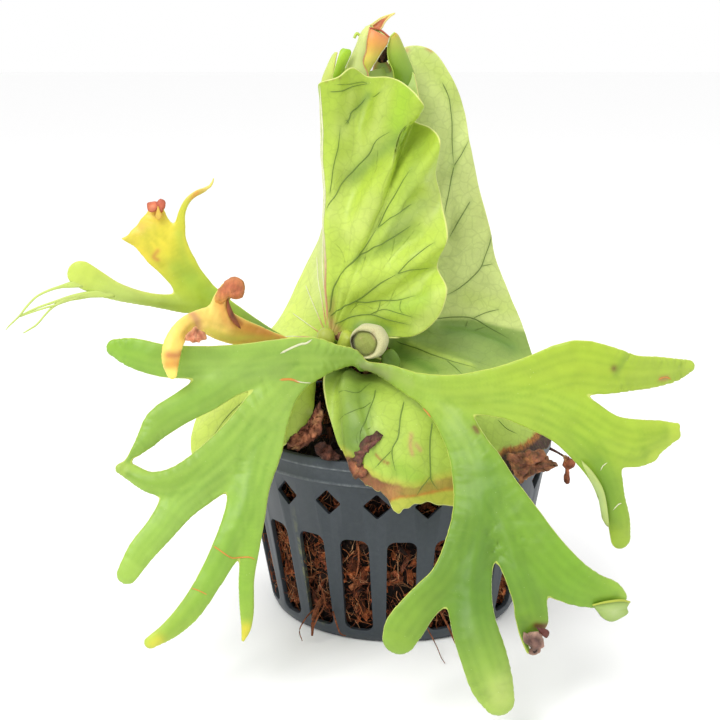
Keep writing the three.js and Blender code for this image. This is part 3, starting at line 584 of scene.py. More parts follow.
class Shader:
    """A material's nodes, built by short calls"""

    def __init__(self, name, roughness, specular=0.5):
        self.material = bpy.data.materials.new(name)
        self.material.use_nodes = True
        self.tree = self.material.node_tree
        self.tree.nodes.clear()
        output = self.tree.nodes.new("ShaderNodeOutputMaterial")
        self.surface = self.tree.nodes.new("ShaderNodeBsdfPrincipled")
        self.tree.links.new(self.surface.outputs["BSDF"], output.inputs["Surface"])
        self.place = self.node("TexCoord", "Object")
        self.finish({"Roughness": roughness, "Specular IOR Level": specular})

    def put(self, socket, value):
        """Links a socket, or sets a plain value or colour"""
        if isinstance(value, bpy.types.NodeSocket):
            self.tree.links.new(value, socket)
        else:
            socket.default_value = (*tone(value), 1.0) if socket.type == "RGBA" else value

    def node(self, kind, output, inputs=None, **settings):
        """One output of a new node with these inputs and settings"""
        made = self.tree.nodes.new("ShaderNode" + kind)
        for key, value in settings.items():
            setattr(made, key, value)
        for key, value in (inputs or {}).items():
            self.put(made.inputs[key], value)
        return made.outputs[output]

    def attribute(self, name, output="Fac"):
        return self.node("Attribute", output, attribute_name=name)

    def math(self, operation, a, b):
        return self.node("Math", 0, {0: a, 1: b}, operation=operation)

    def times(self, a, b):
        return self.math("MULTIPLY", a, b)

    def grey(self, value):
        """A grey colour from a number"""
        return self.node("CombineColor", "Color", {"Red": value, "Green": value, "Blue": value})

    def span(self, value, low, high, start=0.0, end=1.0):
        """Maps a value smoothly from low..high to start..end"""
        numbers = {"Value": value, "From Min": low, "From Max": high, "To Min": start, "To Max": end}
        return self.node("MapRange", "Result", numbers, interpolation_type="SMOOTHSTEP")

    def mix(self, share, a, b, mode="MIX"):
        """Mixes two colours. The node's sockets for colours are its inputs 6 and 7 and its output 2"""
        return self.node("Mix", 2, {0: share, 6: a, 7: b}, data_type="RGBA", blend_type=mode)

    def moved(self, scale=(1, 1, 1), warp=0.0, warp_scale=100.0):
        """Object coordinates, stretched and bent by noise"""
        stretched = self.node("Mapping", "Vector", {"Vector": self.place, "Scale": scale})
        if not warp:
            return stretched
        bend = self.node("TexNoise", "Color", {"Vector": self.place, "Scale": warp_scale})
        inputs = {0: bend, 1: (warp, warp, warp), 2: stretched}
        return self.node("VectorMath", 0, inputs, operation="MULTIPLY_ADD")

    def noise(self, scale, detail=2.0, rough=0.5, vector=None):
        numbers = {"Scale": scale, "Detail": detail, "Roughness": rough, "Vector": vector or self.place}
        return self.node("TexNoise", "Fac", numbers)

    def cells(self, scale, feature="DISTANCE_TO_EDGE", vector=None):
        inputs = {"Scale": scale, "Vector": vector or self.place}
        return self.node("TexVoronoi", "Distance", inputs, feature=feature)

    def bump(self, height, strength, distance, under=None):
        inputs = {"Strength": strength, "Distance": distance, "Height": height}
        if under is not None:
            inputs["Normal"] = under
        return self.node("Bump", "Normal", inputs)

    def finish(self, inputs):
        """Sets or links the inputs of the surface"""
        for key, value in inputs.items():
            self.put(self.surface.inputs[key], value)
        return self.material


def leaf_material(name, net_scale, net_depth, margin, margin_width, mottle=0.1):
    """A waxy leaf: painted colour, a fine net of veins, speckles, a pale margin line, and rough dry parts"""
    shader = Shader(name, 0.42, 0.4)
    edge, dry = shader.attribute("edge"), shader.attribute("dry")
    patches = shader.span(shader.noise(170, 3), 0.3, 0.7, 1 - mottle, 1 + mottle)
    shade = shader.mix(1.0, shader.attribute("tint", "Color"), shader.grey(patches), "MULTIPLY")
    bent = shader.moved(warp=0.004, warp_scale=160)
    net = shader.span(shader.cells(net_scale, vector=bent), 0.0, 0.09, net_depth, 0.0)
    fine = shader.span(shader.cells(net_scale * 2.7, vector=bent), 0.0, 0.12, net_depth * 0.4, 0.0)
    lines = shader.math("ADD", net, fine)
    shade = shader.mix(lines, shade, "vein")
    speck = shader.span(shader.cells(900, "F1"), 0.10, 0.02, 0.0, 0.55)
    shade = shader.mix(shader.times(speck, shader.span(shader.noise(420, 1), 0.56, 0.66)), shade, "cream")
    rim = shader.span(edge, margin_width * 0.65, margin_width * 1.1, 0.85, 0.0)
    shade = shader.mix(shader.times(rim, shader.math("SUBTRACT", 1.0, dry)), shade, margin)
    streaks = shader.noise(700, 6, 0.7, shader.moved((1, 1, 0.25), 0.003, 220))
    brown = shader.mix(shader.span(streaks, 0.4, 0.62), shade, "umber", "MULTIPLY")
    shade = shader.mix(shader.times(dry, 0.75), shade, brown)
    grain = shader.noise(2600, 2, 0.6)
    relief = shader.bump(lines, 0.35, 0.0003)
    relief = shader.bump(grain, 0.10, 0.0002, relief)
    relief = shader.bump(shader.times(streaks, dry), 0.8, 0.001, relief)
    rough = shader.math("ADD", shader.span(dry, 0, 1, 0.40, 0.75), shader.times(grain, 0.08))
    return shader.finish({
        "Base Color": shade, "Normal": relief, "Roughness": rough, "Subsurface Weight": 0.1,
        "Subsurface Radius": (0.9, 1.0, 0.25), "Subsurface Scale": 0.0015,
    })


def plastic_material():
    """Dark slate moulded plastic with a satin skin, faint dust, painted highlights on the rim's ledges and
    green algae by the left slots
    """
    shader = Shader("basket_plastic", 0.42, 0.4)
    flow = shader.noise(24, 3, 0.5, shader.moved((1, 1, 0.35)))
    shade = shader.mix(shader.span(flow, 0.35, 0.7), (44, 51, 57), (54, 61, 68))
    # The edge value holds a faint dust and the pale lines on the rim's ledges, which are painted highlights
    lint = shader.span(shader.noise(520, 4, 0.7), 0.35, 0.7, 0.35, 1.0)
    dust_and_highlight = shader.times(lint, shader.attribute("edge"))
    shade = shader.mix(dust_and_highlight, shade, (150, 156, 158))
    scuff = shader.span(shader.noise(1500, 3, 0.7, shader.moved((1, 1, 0.12))), 0.66, 0.8, 0.0, 0.10)
    shade = shader.mix(scuff, shade, (150, 156, 162))
    algae = shader.times(shader.attribute("dry"), shader.span(shader.noise(420, 5, 0.7), 0.4, 0.62))
    shade = shader.mix(algae, shade, (120, 124, 76))
    relief = shader.bump(shader.noise(1400, 3, 0.6), 0.10, 0.0002)
    relief = shader.bump(shader.noise(60, 2), 0.12, 0.0008, relief)
    rough = shader.math("ADD", shader.span(flow, 0.3, 0.7, 0.38, 0.5), shader.times(dust_and_highlight, 0.4))
    return shader.finish({"Base Color": shade, "Normal": relief, "Roughness": rough})


def bark_material():
    """Coconut husk and bark: fibrous, rough and streaked"""
    shader = Shader("bark", 0.85, 0.25)
    tint = shader.attribute("tint", "Color")
    streaks = shader.noise(900, 5, 0.7, shader.moved((1, 1, 0.3), 0.004, 260))
    shade = shader.mix(shader.span(streaks, 0.38, 0.62, 0.75, 0.0), tint, (70, 34, 20), "MULTIPLY")
    shade = shader.mix(shader.span(streaks, 0.6, 0.75, 0.0, 0.4), shade, (226, 164, 112))
    return shader.finish({"Base Color": shade, "Normal": shader.bump(streaks, 0.9, 0.0012)})


def scales_material(name):
    """Papery brown scales or dry leaf: streaked, with paler worn places"""
    shader = Shader(name, 0.75, 0.3)
    tint = shader.attribute("tint", "Color")
    veins = shader.noise(500, 6, 0.7, shader.moved((1, 1, 0.4), 0.004, 200))
    shade = shader.mix(shader.span(veins, 0.38, 0.6, 0.65, 0.0), tint, "brown", "MULTIPLY")
    shade = shader.mix(shader.span(shader.noise(230, 4, 0.6), 0.55, 0.72, 0.0, 0.4), shade, "tan")
    relief = shader.bump(veins, 0.8, 0.0012)
    relief = shader.bump(shader.noise(160, 3), 0.5, 0.003, relief)
    return shader.finish({"Base Color": shade, "Normal": relief})


def felt_material():
    """Cream felt of short hairs over a young bud"""
    shader = Shader("bud_felt", 0.9, 0.2)
    tint = shader.attribute("tint", "Color")
    fuzz = shader.noise(2400, 6, 0.8)
    shade = shader.mix(shader.span(fuzz, 0.38, 0.6, 0.3, 0.0), tint, (190, 180, 130), "MULTIPLY")
    shade = shader.mix(shader.span(shader.noise(420, 4, 0.6), 0.56, 0.72, 0.0, 0.3), shade, (214, 184, 136))
    return shader.finish({
        "Base Color": shade, "Normal": shader.bump(fuzz, 0.8, 0.0006),
        "Sheen Weight": 0.3, "Sheen Roughness": 0.5,
    })


# Basket

def wall_radius(z):
    """The outer radius of the basket's wall at a height"""
    return WALL_RADIUS_AT_FLOOR + TAPER * z


def basket_profile():
    """The wall's section from the middle of the base, over the rim, to the middle of the floor"""
    lip = 0.7
    outer = [
        (0.01, 0.9), (BASE_RADIUS - 9, 0.9), (BASE_RADIUS - 8, 0.0), (BASE_RADIUS - 0.7, 0.0),
        (BASE_RADIUS + 0.1, 0.5), (wall_radius(3), 3), (wall_radius(BAND_BOTTOM) - 0.05, BAND_BOTTOM - 0.4),
        (wall_radius(BAND_BOTTOM) + 0.5, BAND_BOTTOM + 0.2), (RIM_RADIUS - 0.85, BAND_BOTTOM + 0.55),
        (RIM_RADIUS - 0.8, BAND_BOTTOM + 1.1), (RIM_RADIUS - 0.9, BAND_BOTTOM + 1.6),
        (RIM_RADIUS - 0.75, HEIGHT - 3.9), (RIM_RADIUS - 0.3, HEIGHT - 3.6), (RIM_RADIUS - 0.2, HEIGHT - 3.3),
        (RIM_RADIUS - 0.25, HEIGHT - 2.9), (RIM_RADIUS, HEIGHT - lip), (RIM_RADIUS - 0.2, HEIGHT - 0.2),
        (RIM_RADIUS - lip, HEIGHT),
    ]
    inner = [
        (RIM_RADIUS - WALL + 0.4, HEIGHT), (RIM_RADIUS - WALL, HEIGHT - 0.4),
        (RIM_RADIUS - WALL - 0.2, HEIGHT - 3), (wall_radius(BAND_BOTTOM) - WALL, BAND_BOTTOM - 1),
        (wall_radius(FLOOR + 2) - WALL, FLOOR + 2), (wall_radius(FLOOR) - WALL - 2, FLOOR), (0.01, FLOOR),
    ]
    return np.array(outer + inner)


def lathe(profile, turns):
    """A closed body of revolution from a section that starts and ends at the axis"""
    places = [(x * r, y * r, z) for r, z in profile for x, y in circle(turns)]
    return places, ring_faces(len(profile), turns)


def slot_outline():
    """The rounded upright slot, as points across and up"""
    side = SLOT["width"] / 2
    corner = SLOT["corner"]
    points = []
    for cx, cz, start in (
        (side - corner, SLOT["top"] - corner, 0), (corner - side, SLOT["top"] - corner, 90),
        (corner - side, SLOT["bottom"] + corner, 180), (side - corner, SLOT["bottom"] + corner, 270),
    ):
        for step in range(7):
            turn = math.radians(start + 15 * step)
            points.append((cx + corner * math.cos(turn), cz + corner * math.sin(turn)))
    return points


def diamond_outline():
    """The diamond hole, with its corners slightly rounded"""
    half = DIAMOND["width"] / 2
    low, high = DIAMOND["bottom"], DIAMOND["top"]
    middle = (low + high) / 2
    corners = [(half, middle), (0, high), (-half, middle), (0, low)]
    points = []
    for k, (x, z) in enumerate(corners):
        before, after = corners[k - 1], corners[(k + 1) % 4]
        for other in (before, after):
            points.append((x + (other[0] - x) * 0.06, z + (other[1] - z) * 0.06))
    return points


def compass(degrees):
    """The level directions across and outwards at a turn from the front of the basket"""
    turn = math.radians(degrees)
    return np.array([math.cos(turn), math.sin(turn), 0]), np.array([math.sin(turn), -math.cos(turn), 0])


def prism(outline, degrees):
    """A cutter that goes outwards through the wall, with the outline upright"""
    across, out = compass(degrees)
    places = [out * reach + across * x + np.array([0, 0, z]) for reach in CUTTER_REACH for x, z in outline]
    return places, ring_faces(2, len(outline))


def drain_prism(degrees):
    """A round cutter through the floor"""
    centre = compass(degrees)[1] * DRAIN["circle"]
    ring = np.column_stack([circle(20), np.zeros(20)]) * DRAIN["radius"]
    places = [centre + point + np.array([0, 0, z]) for z in (-3, 6) for point in ring]
    return places, ring_faces(2, 20)


def face_outwards(made):
    """Turns all faces of a closed mesh outwards"""
    work = bmesh.new()
    work.from_mesh(made.data)
    bmesh.ops.recalc_face_normals(work, faces=work.faces)
    work.to_mesh(made.data)
    work.free()


def applied(made):
    """Applies an object's modifiers to its mesh"""
    graph = bpy.context.evaluated_depsgraph_get()
    mesh = bpy.data.meshes.new_from_object(made.evaluated_get(graph))
    made.modifiers.clear()
    made.data = mesh


def make_basket():
    """The slotted basket: a turned wall, cut by the slots, the diamonds and the drain holes"""
    cuts = []
    for bay in range(BAYS):
        degrees = FIRST_BAY + 360 * bay / BAYS
        cuts += [prism(slot_outline(), degrees), prism(diamond_outline(), degrees + 180 / BAYS)]
    cuts += [drain_prism(360 * hole / DRAIN["count"]) for hole in range(DRAIN["count"])]
    basket = mesh_object("basket_shell", *lathe(basket_profile(), BAYS * 8))
    cutter = mesh_object("basket_cutter", *joined(cuts))
    face_outwards(basket)
    face_outwards(cutter)
    cut = basket.modifiers.new("cut", "BOOLEAN")
    cut.operation = "DIFFERENCE"
    cut.solver = "EXACT"
    cut.object = cutter
    applied(basket)
    bevel = basket.modifiers.new("bevel", "BEVEL")
    bevel.width = 0.3 * MM
    bevel.segments = 2
    bevel.limit_method = "ANGLE"
    bevel.angle_limit = math.radians(35)
    applied(basket)
    bpy.data.objects.remove(cutter)
    mesh = basket.data
    mesh.polygons.foreach_set("use_smooth", np.full(len(mesh.polygons), True))
    mesh.set_sharp_from_angle(angle=math.radians(40))
    paint_basket(mesh)
    mesh.materials.clear()
    mesh.materials.append(plastic_material())
    dress(basket, "basket")


# The heights of the rim's moulded ledges, where pale lines are painted as their highlights
RIM_LINES = (68.6, 63.2)
ALGAE = [[-31, -41, 34], [-32, -39.5, 22], [-31, -38, 12], [-28.5, -40, 8]]


def paint_basket(mesh):
    """Marks a faint dust, painted highlights along the moulded lines round the rim, and where algae lie"""
    places = np.array([tuple(v.co) for v in mesh.vertices]) / MM
    outside = ease(np.hypot(places[:, 0], places[:, 1]), RIM_RADIUS - 1.6, RIM_RADIUS - 1.2)
    # A faint dust all over, and pale lines at the ledges as painted highlights
    dust_and_highlight = np.full(len(places), 0.04)
    for height in RIM_LINES:
        dust_and_highlight = np.maximum(dust_and_highlight, 0.6 * outside * np.exp(-((places[:, 2] - height) / 0.35) ** 2))
    paint(mesh, "edge", dust_and_highlight)
    paint(mesh, "dry", 1 - ease(distance_to_line(places, resample(ALGAE, 2)), 1.0, 5.5))


# Bark fill

CHIPS_INSIDE = 1250
CHIPS_ON_TOP = 420
FIBRES_INSIDE = 2300
FIBRES_IN_SLOT = 26

# The gap between the wall and the dark mass
CORE_GAP = 3.4

HUSK = [
    colour(96, 50, 28), colour(140, 74, 40), colour(178, 98, 56), colour(66, 36, 24), colour(120, 64, 42),
    colour(196, 122, 80), colour(48, 28, 20), colour(156, 84, 46),
]
FIBRE = [
    colour(206, 142, 96), colour(168, 96, 56), colour(222, 172, 126), colour(130, 70, 40),
    colour(186, 112, 64), colour(112, 60, 38), colour(150, 82, 50),
]

CHIP_FACES = [(0, 1, 2, 3), (4, 7, 6, 5), (0, 4, 5, 1), (1, 5, 6, 2), (2, 6, 7, 3), (3, 7, 4, 0)]
CHIP_CORNERS = np.array([
    (-1, -1, -1), (1, -1, -1), (1, 1, -1), (-1, 1, -1), (-1, -1, 1), (1, -1, 1), (1, 1, 1), (-1, 1, 1),
], float)


def chip(rng, centre, size, tint):
    """A broken lump of husk with uneven corners, kept inside the wall"""
    axes = np.linalg.qr(rng.normal(size=(3, 3)))[0]
    scale = size * np.array([rng.uniform(0.9, 2.0), rng.uniform(0.35, 0.7), rng.uniform(0.12, 0.3)])
    corners = CHIP_CORNERS * rng.uniform(0.55, 1.15, (8, 3))
    places = centre + (corners * scale) @ axes.T
    if centre[2] < HEIGHT:
        limit = wall_radius(np.minimum(places[:, 2], BAND_BOTTOM)) - WALL + 0.2
        places[:, :2] *= np.minimum(1, limit / np.hypot(places[:, 0], places[:, 1]))[:, None]
    places[:, 2] = np.maximum(places[:, 2], FLOOR + 0.2)
    return piece(places, CHIP_FACES, tint)


def fibre(rng, start, heading, length, radius, tint, limit):
    """A thin stray fibre that wanders but stays inside a radius and above the floor"""
    steps = 7
    place = np.array(start, float)
    heading = unit(heading)
    line = [place.copy()]
    bend = rng.normal(size=3) * 0.35
    for _ in range(steps):
        heading = unit(heading + bend + rng.normal(size=3) * 0.25)
        place = place + heading * length / steps
        out = np.hypot(place[0], place[1])
        allowed = limit(place[2])
        if out > allowed:
            place[:2] *= allowed / out
        place[2] = max(place[2], FLOOR + 0.5)
        line.append(place.copy())
    radii = radius * np.linspace(1, 0.45, steps + 1)
    return tube_along(np.array(line), radii, 3, tint)


def fill_limit(z):
    """How far out loose fibres may reach inside the wall"""
    return wall_radius(min(z, HEIGHT - 3)) - WALL - 0.2


def lit(shade, gain):
    """A colour made lighter without a change of hue: painted light on husk and fibres that the wall keeps in
    shade
    """
    return shade * min(gain, 0.8 / shade.max())


def slot_limit(z):
    """How far out a fibre in a slot may reach"""
    return wall_radius(z) - 0.3


def fill_core():
    """The dark mass inside the basket, with the mound that the plant sits on, darker than any husk as painted
    shade between the chips
    """
    rows, turns = 46, 120
    floor, shoulder, top = FLOOR + 0.4, MOUND["shoulder"], MOUND["top"]
    ring = np.column_stack([circle(turns), np.zeros(turns)])
    rings = []
    for share in np.linspace(0, 1, rows):
        if share <= 0.5:
            z = floor + (shoulder - floor) * share * 2
            rings.append(ring * (wall_radius(z) - WALL - CORE_GAP) + [0, 0, z])
        else:
            rise = (share - 0.5) * 2
            radius = (wall_radius(shoulder) - WALL - CORE_GAP) * (1 - rise ** 1.1)
            z = shoulder + (top[2] - shoulder) * rise ** 0.9
            rings.append(ring * radius + [top[0] * rise, top[1] * rise, z])
    places = np.concatenate(rings)
    lumps = ripple(places, 9, 3) * 1.1 + ripple(places, 4, 4) * 0.6
    places = places + unit(places - np.array([0, 0, 35])) * lumps[:, None]
    places[:, 2] = np.maximum(places[:, 2], floor)
    # Darker than the darkest husk: painted shade in the gaps between chips
    return piece(places, ring_faces(rows, turns), HUSK[6] * 0.6)


ROOTS = [
    [[-24, -36, 16, 1.0], [-28, -42, 13, 1.0], [-30, -46, 9, 0.8], [-30.5, -48, 3.4, 0.4]],
    [[-27, -40, 18, 0.35], [-26, -44, 14, 0.3], [-28.4, -46.6, 10, 0.3], [-29.8, -47.4, 7, 0.2]],
    [[-30, -42, 11, 0.3], [-33, -46, 9, 0.25], [-35, -48.6, 5.6, 0.2], [-34, -49.4, 2, 0.15]],
    [[-23, -44, 11, 0.3], [-21.6, -47.6, 7.6, 0.3], [-20.2, -49, 4.6, 0.25], [-18.4, -49.8, 4.2, 0.15]],
    [[15, -44, 12, 0.4], [18, -49, 8, 0.35], [21, -54, 2.6, 0.3], [24.5, -60, 0.6, 0.2]],
    [[13, -50, 36, 0.22], [13.8, -53.6, 31, 0.22], [12.6, -54, 24, 0.2], [13.4, -53, 18, 0.14]],
    [
        [8, -50, 12, 0.2], [11.4, -53, 7, 0.2], [14, -57, 3, 0.18], [15.2, -60, 0.8, 0.14],
        [16.3, -64, 0.5, 0.12],
    ],
    [[-14.8, -50, 43, 0.3], [-13.8, -51.6, 37.8, 0.32], [-14, -51.4, 30.9, 0.3], [-15.4, -50, 25, 0.2]],
    [[22, 31, 24, 1.0], [27, 40, 25, 0.9], [31, 45, 22, 0.7], [32, 47, 15, 0.4]],
    [[-33, 23, 30, 1.0], [-40, 28, 31, 0.9], [-45, 31, 28, 0.7], [-47, 32, 20, 0.4]],
    [[-8, -45, 38, 0.4], [-6.4, -48.6, 33, 0.38], [-5.4, -49.4, 27, 0.34], [-7.6, -48.4, 20, 0.24]],
]


def make_fill():
    """Husk chips, fibres and roots in and on top of the basket"""
    rng = np.random.default_rng(11)
    pieces = [fill_core()]

    def about(radius, turn, z, middle=(0, 0)):
        return np.array([middle[0] + radius * math.cos(turn), middle[1] + radius * math.sin(turn), z])

    for _ in range(CHIPS_INSIDE):
        z = rng.uniform(5, 66)
        turn = rng.uniform(0, 2 * math.pi)
        size = rng.uniform(1.2, 3.6)
        radius = wall_radius(z) - WALL - 0.3 - size * rng.uniform(0.55, 1.5)
        # Painted light: the gain lifts the chips above their own colour against the wall's shade, and varies
        # them at random
        shade = lit(HUSK[rng.integers(len(HUSK))], rng.uniform(0.25, 1) ** 2 * 6)
        pieces.append(chip(rng, about(radius, turn, z), size, shade))
    for _ in range(CHIPS_ON_TOP):
        turn = rng.uniform(0, 2 * math.pi)
        share = rng.uniform(0, 0.85)
        z = MOUND["shoulder"] + (MOUND["top"][2] - MOUND["shoulder"]) * share ** 0.9
        centre = about(54 * (1 - share), turn, z, (MOUND["top"][0] * share, MOUND["top"][1] * share))
        size = rng.uniform(1.4, 3.4)
        pieces.append(chip(rng, centre, size, HUSK[rng.integers(len(HUSK))] * rng.uniform(0.5, 1.1)))
    for _ in range(FIBRES_INSIDE):
        z = rng.uniform(6, 64)
        turn = rng.uniform(0, 2 * math.pi)
        start = about(wall_radius(z) - WALL - rng.uniform(0.4, 2.0), turn, z)
        round_wall = np.array([-math.sin(turn), math.cos(turn), 0])
        heading = round_wall * rng.normal() + np.array([0, 0, rng.normal() * 1.3])
        # Painted light: fibres lifted above their own colour
        shade = lit(FIBRE[rng.integers(len(FIBRE))], rng.uniform(0.7, 2.4))
        length, radius = rng.uniform(5, 17), rng.uniform(0.07, 0.2)
        pieces.append(fibre(rng, start, heading, length, radius, shade, fill_limit))
    for bay in range(BAYS):
        side, out = compass(FIRST_BAY + 360 * bay / BAYS)
        for _ in range(FIBRES_IN_SLOT):
            z = rng.uniform(SLOT["bottom"] + 4, SLOT["top"] - 4)
            start = out * (wall_radius(z) - WALL) + side * rng.uniform(-2.4, 2.4) + np.array([0, 0, z])
            heading = out * rng.uniform(0.1, 0.7) + side * rng.normal() * 0.3 + np.array([0, 0, rng.normal()])
            # Painted light: fibres in the slots lifted above their own colour
            shade = lit(FIBRE[rng.integers(len(FIBRE))], 1.8)
            length, radius = rng.uniform(4, 13), rng.uniform(0.08, 0.22)
            pieces.append(fibre(rng, start, heading, length, radius, shade, slot_limit))
    pieces += [tube(root, 16, 7, (168, 98, 60)) for root in ROOTS]
    finished("bark_fill_detail", pieces, bark_material(), "bark_fill", smooth=False)


# Leaves cut from lobes

WEB_BLEND = 3.2
DEPTH_BLEND = 3.5
CHANNEL = 1.6
SHRINK = 0.45
FROND_HALF = 0.5

# The heights of a leaf's broad and fine waves
BROAD_WAVE = 0.35
FINE_WAVE = 0.12


def finer_lobes(lobes):
    """The same lobes on smooth curves, with three steps between two points"""
    finer = {}
    for name, points in lobes.items():
        places, widths = smooth_path(points, np.linspace(0, 1, 3 * (len(points) - 1) + 1))
        finer[name] = np.column_stack([places, widths])
    return finer


def lobe_field(lobes, looks, x, z):
    """How far inside the outline each point lies, its depth and its colour"""
    count = len(x)
    rows = np.arange(count)
    smooth = np.zeros(count)
    weights = np.zeros(count)
    depth = np.zeros(count)
    tint = np.zeros((count, 3))
    for name, points in lobes.items():
        a, step = points[:-1], np.diff(points, axis=0)
        length2 = step[:, 0] ** 2 + step[:, 2] ** 2
        dx, dz = x[:, None] - a[:, 0], z[:, None] - a[:, 2]
        t = np.clip((dx * step[:, 0] + dz * step[:, 2]) / length2, 0, 1)
        away = np.hypot(dx - step[:, 0] * t, dz - step[:, 2] * t)
        width = a[:, 3] + step[:, 3] * t
        best = np.argmin(away - width, axis=1)
        t, away, width = t[rows, best], away[rows, best], width[rows, best]
        near_edge = away - width
        cup = CHANNEL * np.minimum((away / np.maximum(width, 3)) ** 2, 1.5)
        progress = (best + t) / (len(points) - 1)
        smooth += np.exp(-near_edge / (WEB_BLEND / 3))
        weight = np.exp(-near_edge / DEPTH_BLEND)
        weights += weight
        depth += weight * (a[best, 1] + step[best, 1] * t + cup)
        root, middle, tip = looks[name]
        shade = blend(blend(root, middle, ease(progress, 0.0, 0.5)), tip, ease(progress, 0.5, 1.0))
        tint += weight[:, None] * shade
    inside = np.log(smooth) * WEB_BLEND / 3 - SHRINK
    return inside, depth / weights, tint / weights[:, None]


def cut_lattice(field, low, high, grid):
    """Triangles of a lattice in the upright plane, cut along the outline where the field is zero"""
    row_step = grid * math.sqrt(3) / 2
    columns = int((high[0] - low[0]) / grid) + 3
    rows = int((high[1] - low[1]) / row_step) + 3
    j, i = np.mgrid[0:rows, 0:columns]
    x = (low[0] + (i + (j % 2) / 2) * grid).ravel()
    z = (low[1] + j * row_step).ravel()
    inside = field(x, z)
    index = np.arange(rows * columns).reshape(rows, columns)
    even = (np.arange(rows - 1) % 2 == 0)[:, None]
    a, b = index[:-1, :-1], index[:-1, 1:]
    c, d = index[1:, :-1], index[1:, 1:]
    first = np.where(even[..., None], np.stack([a, b, c], -1), np.stack([a, b, d], -1))
    second = np.where(even[..., None], np.stack([b, d, c], -1), np.stack([a, d, c], -1))
    triangles = np.concatenate([first.reshape(-1, 3), second.reshape(-1, 3)])
    kept = inside[triangles] > 0
    number = kept.sum(1)
    one, two = triangles[number == 1], triangles[number == 2]
    turn = np.argmax(kept[number == 1], axis=1)[:, None]
    one = np.take_along_axis(one, (turn + np.arange(3)) % 3, 1)
    turn = np.argmin(kept[number == 2], axis=1)[:, None]
    two = np.take_along_axis(two, (turn + np.arange(3)) % 3, 1)
    pairs = np.concatenate([one[:, [0, 1]], one[:, [0, 2]], two[:, [0, 1]], two[:, [0, 2]]])
    keys = pairs.min(1).astype(np.int64) * len(x) + pairs.max(1)
    known, where = np.unique(keys, return_inverse=True)
    p, q = known // len(x), known % len(x)
    share = np.clip(inside[p] / (inside[p] - inside[q]), 0.08, 0.92)
    x_all = np.concatenate([x, x[p] + (x[q] - x[p]) * share])
    z_all = np.concatenate([z, z[p] + (z[q] - z[p]) * share])
    where = where.ravel() + len(x)
    n1, n2 = len(one), len(two)
    e1, e2 = where[:n1], where[n1:2 * n1]
    f1, f2 = where[2 * n1:2 * n1 + n2], where[2 * n1 + n2:]
    faces = np.concatenate([
        triangles[number == 3], np.stack([one[:, 0], e1, e2], 1),
        np.stack([f1, two[:, 1], two[:, 2]], 1), np.stack([f1, two[:, 2], f2], 1),
    ])
    used, faces = np.unique(faces, return_inverse=True)
    return x_all[used], z_all[used], faces.reshape(-1, 3)


def frond_sheet(lobes, looks, grid, seed):
    """The middle sheet of a lobed leaf, with its normals, faces, distance to the edge and colour"""
    points = np.vstack(list(lobes.values()))
    low = (points[:, 0] - points[:, 3]).min() - grid, (points[:, 2] - points[:, 3]).min() - grid
    high = (points[:, 0] + points[:, 3]).max() + grid, (points[:, 2] + points[:, 3]).max() + grid
    x, z, faces = cut_lattice(lambda px, pz: lobe_field(lobes, looks, px, pz)[0], low, high, grid)
    inside, _, tint = lobe_field(lobes, looks, x, z)

    def height(px, pz):
        found = lobe_field(lobes, looks, px, pz)[1]
        flat = np.column_stack([px, found, pz])
        return found + BROAD_WAVE * ripple(flat, 17, seed) + FINE_WAVE * ripple(flat, 6, seed + 1)

    step = 0.5
    depth = height(x, z)
    slope_x = (height(x + step, z) - height(x - step, z)) / (2 * step)
    slope_z = (height(x, z + step) - height(x, z - step)) / (2 * step)
    normals = unit(np.column_stack([slope_x, -np.ones(len(x)), slope_z]))
    places = np.column_stack([x, depth, z])
    a, b, c = (places[faces[:, k]] for k in range(3))
    flip = (np.cross(b - a, c - a) * normals[faces[:, 0]]).sum(1) < 0
    faces[flip] = faces[flip][:, ::-1]
    rim = open_rim(faces, len(x))
    inside[rim] = 0
    return places, normals, faces, np.maximum(inside, 0), tint


VEIN_SHADE = np.array([0.55, 0.68, 0.45])


def soft_veins(surface, places, tint, lobes, strength, seed):
    """Brushes faint darker veins along each lobe"""
    rng = np.random.default_rng(seed)
    tint = np.array(tint)
    for points in lobes.values():
        ahead = unit(np.gradient(points[:, [0, 2]], axis=0))
        for share in (-0.62, -0.2, 0.22, 0.64):
            shift = (share + rng.uniform(-0.1, 0.1)) * points[:, 3]
            line = points[:, :3].copy()
            line[:, 0] += ahead[:, 1] * shift
            line[:, 2] -= ahead[:, 0] * shift
            line = surface.near(resample(line[1:-2], 1.0))[0]
            width = rng.uniform(0.7, 1.1)
            close = np.all((places > line.min(0) - 3) & (places < line.max(0) + 3), axis=1)
            dark = strength * np.exp(-(distance_to_line(places[close], line) / width) ** 2)
            tint[close] = blend(tint[close], tint[close] * VEIN_SHADE, dark)
    return tint


def washed(surface, places, tint, washes):
    """Brushes soft colours along lines on a sheet. A wash is (points, width, colour, strength)"""
    for points, width, shade, strength in washes:
        line = surface.seen(points) if len(points[0]) == 2 else np.array(points, float)
        if len(line) > 1:
            line = resample(line, width / 2)
        if len(line):
            share = strength * np.exp(-(distance_to_line(places, line) / width) ** 2)
            tint = blend(tint, shade, share)
    return tint


def folded(surface, places, normals, folds):
    """Pushes a sheet in or out along lines. A fold is (points, width, height)"""
    lift = np.zeros(len(places))
    for points, width, height in folds:
        line = resample(surface.seen(points), width / 2)
        lift += height * np.exp(-(distance_to_line(places, line) / width) ** 2)
    return places + normals * lift[:, None]


def leaf_body(places, normals, faces, tint, edge, dry, half, back_tint=None):
    """The closed leaf from its sheet, with a paler or darker underside"""
    thin = half * np.sqrt(np.clip(edge / 0.7, 0, 1) * (2 - np.clip(edge / 0.7, 0, 1)))
    solid, all_faces, source = blade(places, normals, faces, np.maximum(thin, 0.08))
    shade = tint[source].copy()
    if back_tint is not None:
        behind = np.arange(len(source)) >= len(places)
        shade[behind] = blend(shade[behind], back_tint, np.full(behind.sum(), 0.45))
    return piece(solid, all_faces, shade, edge[source], dry[source])


